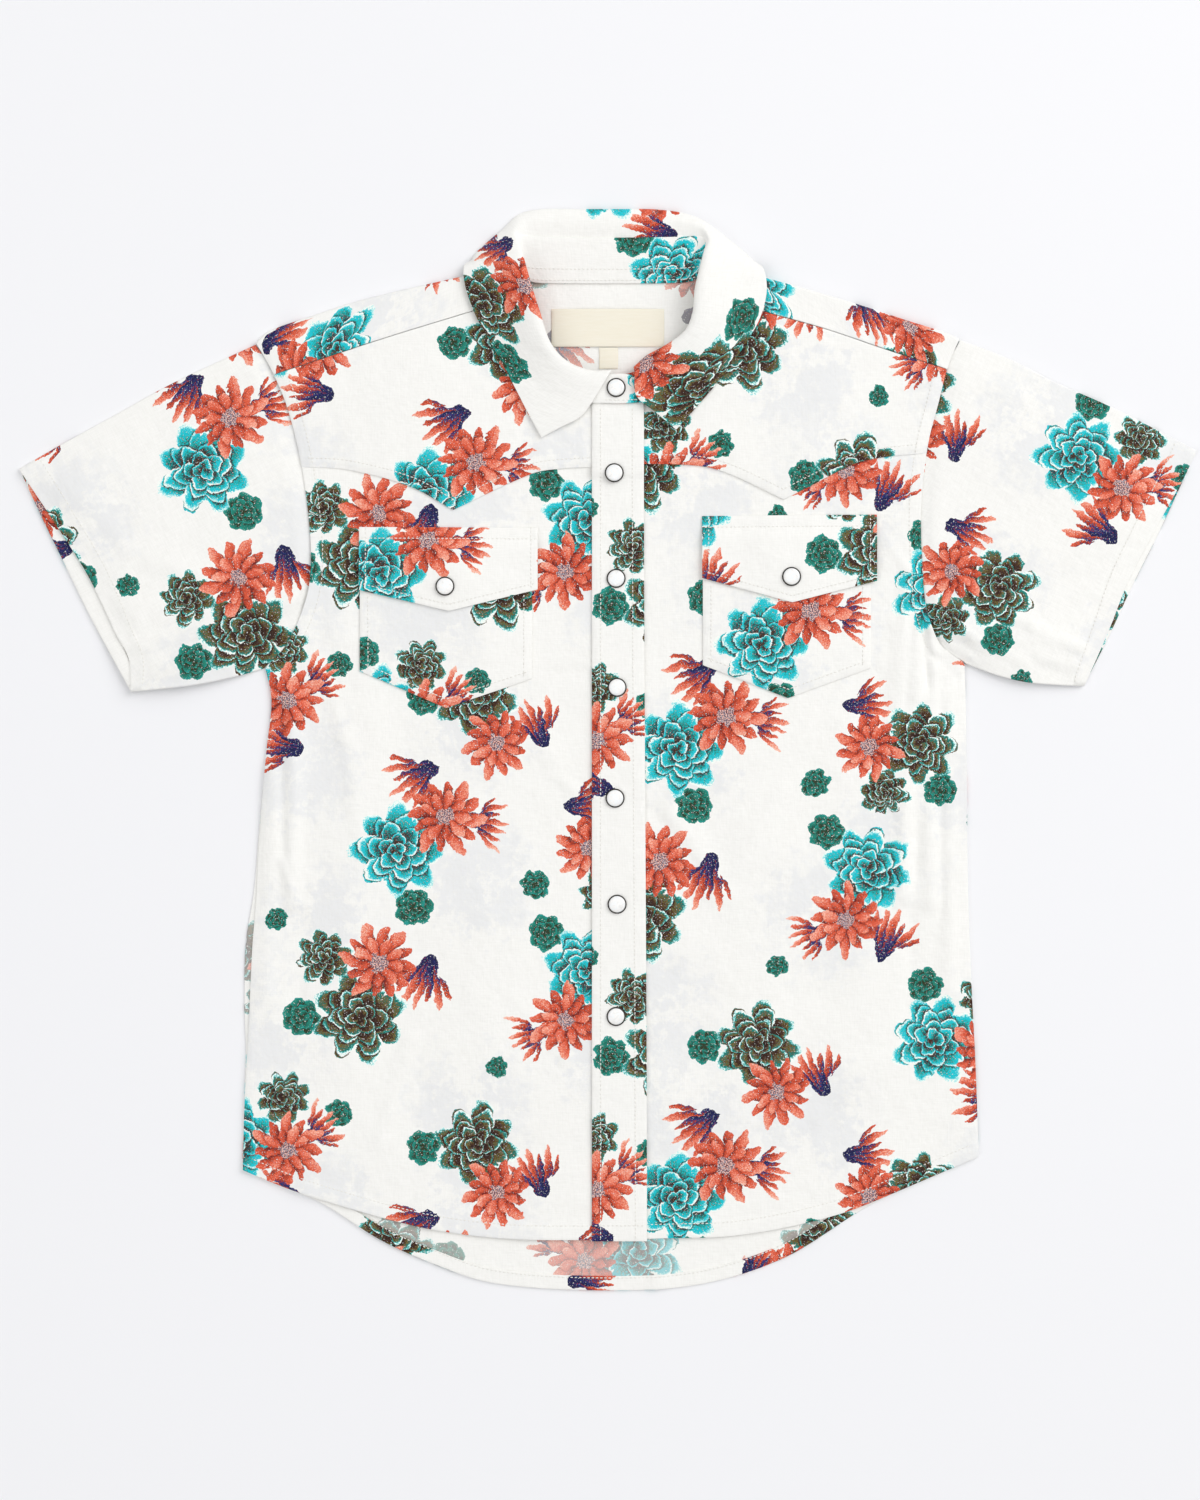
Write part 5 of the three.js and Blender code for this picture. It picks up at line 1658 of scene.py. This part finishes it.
def stitchShape():
    # Corners and faces of one stitch of unit length, width and height.
    bm = bmesh.new()
    line = [bm.verts.new((share, fat / 2, 0)) for share, fat in stitch["profile"]]
    edges = [bm.edges.new(pair) for pair in zip(line, line[1:])]
    bmesh.ops.spin(bm, geom=line + edges, cent=(0, 0, 0), axis=(1, 0, 0), angle=math.tau,
                   steps=stitch["sides"], use_merge=True)
    bmesh.ops.remove_doubles(bm, verts=bm.verts, dist=1e-4)
    bm.verts.index_update()
    corners, faces = [v.co.copy() for v in bm.verts], [[v.index for v in f.verts] for f in bm.faces]
    bm.free()
    return corners, faces


def spots(row):
    # Places a pitch apart along a row: the run so far, the point, the way on and the cloth's normal.
    run, goal, k = 0.0, stitch["pitch"] * 0.5, 1
    while k < len(row):
        (p, up), (q, _) = row[k - 1], row[k]
        length = (q - p).length
        if length < 1e-6 or run + length < goal:
            run += length
            k += 1
            continue
        yield goal, p.lerp(q, (goal - run) / length), (q - p).normalized(), up
        goal += stitch["pitch"]


def stitches(name, rows):
    # One mesh of small capsules laid end to end along each row, their ends sunk in the cloth.
    bm = bmesh.new()
    corners, faces = stitchShape()
    count = 0
    for row in rows:
        for run, at, way, up in spots(row):
            over = up.cross(way).normalized()
            way = (way + over * 0.05 * math.sin(run * 5.1 + count)).normalized()
            size = stitch["long"] * (1 + 0.08 * math.sin(run * 3.3))
            verts = []
            for c in corners:
                rise = stitch["sunk"] if abs(c.x) > 0.4 else stitch["rise"]
                aside = over * (stitch["wide"] * c.y) + up * (stitch["tall"] * c.z + rise)
                verts.append(bm.verts.new(inMetres(at + way * (size * c.x) + aside)))
            for corner in faces:
                bm.faces.new([verts[k] for k in corner])
            count += len(corners)
    bmesh.ops.recalc_face_normals(bm, faces=bm.faces)
    print(name, len(bm.faces), "faces")
    finished(name, bm, (thread,), "cloth")


stitches("stitches_body", body)
stitches("stitches_sleeves", cuffs)
stitches("stitches_collar", collarRows)
for obj, size, held, on, area, hems in cuts:
    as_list(on)
    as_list(hems)


# Snaps: a pearl cap in a rolled metal ring, each as a profile of radius and height turned round.
pearl, ring = pearlMaterial(), ringMaterial()
snap = {
    "sides": 48,
    "reach": 4.6,
    "seat": 0.02,
    "cap": [(0, 0.1), (3.8, 0.1), (3.98, 0.3), (4.02, 0.66), (3.92, 0.92), (3.6, 1.14), (2.8, 1.34),
            (1.4, 1.47), (0, 1.5)],
    "ring": [(4.05, 0.2), (4.06, 0.62), (4.12, 0.84), (4.26, 0.94), (4.42, 0.88), (4.56, 0.7),
             (4.64, 0.4), (4.62, 0.05), (4.5, -0.05), (4.1, -0.05), (4.05, 0.2)],
}


def turnedPiece(name, profile, seat, look, slot, node):
    x, y, z = seat
    bm = bmesh.new()
    line = [bm.verts.new(inMetres((x + r, y, z + h))) for r, h in profile]
    edges = [bm.edges.new(pair) for pair in zip(line, line[1:])]
    bmesh.ops.spin(bm, geom=line + edges, cent=inMetres(seat), axis=(0, 0, 1), angle=math.tau,
                   steps=snap["sides"], use_merge=True)
    bmesh.ops.remove_doubles(bm, verts=bm.verts, dist=1e-6)
    bmesh.ops.recalc_face_normals(bm, faces=bm.faces)
    finished(name, bm, (look,), slot, node)


snaps = [
    ("collar", 3.9, 175.4, lambda x, y: 5.9),
    ("1", 3.0, 134.3, bandHeight),
    ("2", 3.9, 83.2, bandHeight),
    ("3", 4.4, 30.4, bandHeight),
    ("4", 3.4, -23.3, bandHeight),
    ("5", 4.4, -74.7, bandHeight),
    ("6", 3.9, -129.1, bandHeight),
    ("flap_left", -78.9, 79.3, flapHeight),
    ("flap_right", 88.8, 84.0, flapHeight),
]
for key, x, y, height in snaps:
    around = [height(x, y)]
    for a in (0, 1.57, 3.14, 4.71):
        around.append(height(x + snap["reach"] * math.cos(a), y + snap["reach"] * math.sin(a)))
    seat = (x, y, max(around) + cloth["thick"] / 2 + snap["seat"])
    turnedPiece("pearl_cap_" + key, snap["cap"], seat, pearl, "pearl", "snap_cap_" + key)
    turnedPiece("metal_ring_" + key, snap["ring"], seat, ring, "ring", "snap_ring_" + key)
print("snaps ready")

# Stage: pale floor, a large key light from the upper right, soft fills, and a camera straight above.
stage = {"floor": 8.0, "lens": 70.0, "sensor": 36.0, "tall": 0.7275, "midX": -0.00388, "midY": 0.0,
         "level": 0.003, "air": (0.985, 0.99, 1.0, 1.0), "airStrength": 0.46}
bm = bmesh.new()
bmesh.ops.create_grid(bm, x_segments=1, y_segments=1, size=stage["floor"] / 2)
newObject("floor", bm, (floorMaterial(),))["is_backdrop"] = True

lights = [
    ("keyRight", (2.3, 1.7, 2.3), 2.8, 82.0),
    ("fillLow", (-2.6, -1.8, 2.8), 2.4, 34.0),
    ("softTop", (-0.2, 0.2, 2.6), 1.8, 12.5),
]
for name, at, size, power in lights:
    lamp = bpy.data.lights.new(name, "AREA")
    lamp.shape = "SQUARE"
    lamp.size = size
    lamp.energy = power
    obj = bpy.data.objects.new(name, lamp)
    obj.location = at
    obj.rotation_euler = (-Vector(at)).to_track_quat("-Z", "Y").to_euler()
    bpy.context.scene.collection.objects.link(obj)
world = bpy.data.worlds.new("softRoom")
bpy.context.scene.world = world
world.use_nodes = True
background = world.node_tree.nodes["Background"]
background.inputs["Color"].default_value = stage["air"]
background.inputs["Strength"].default_value = stage["airStrength"]
bpy.context.scene.view_settings.view_transform = "Standard"

camera = bpy.data.objects.new("camera", bpy.data.cameras.new("camera"))
camera.data.sensor_width = stage["sensor"]
camera.data.lens = stage["lens"]
camera.data.clip_end = 50.0
away = stage["lens"] / stage["sensor"] * stage["tall"]
camera.location = (stage["midX"], stage["midY"], away + stage["level"])
bpy.context.scene.collection.objects.link(camera)
bpy.context.scene.camera = camera

low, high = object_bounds()
sizes = {"cad": [list(cadLow), list(cadHigh)], "scene": [list(low), list(high)]}
print("scene ready")
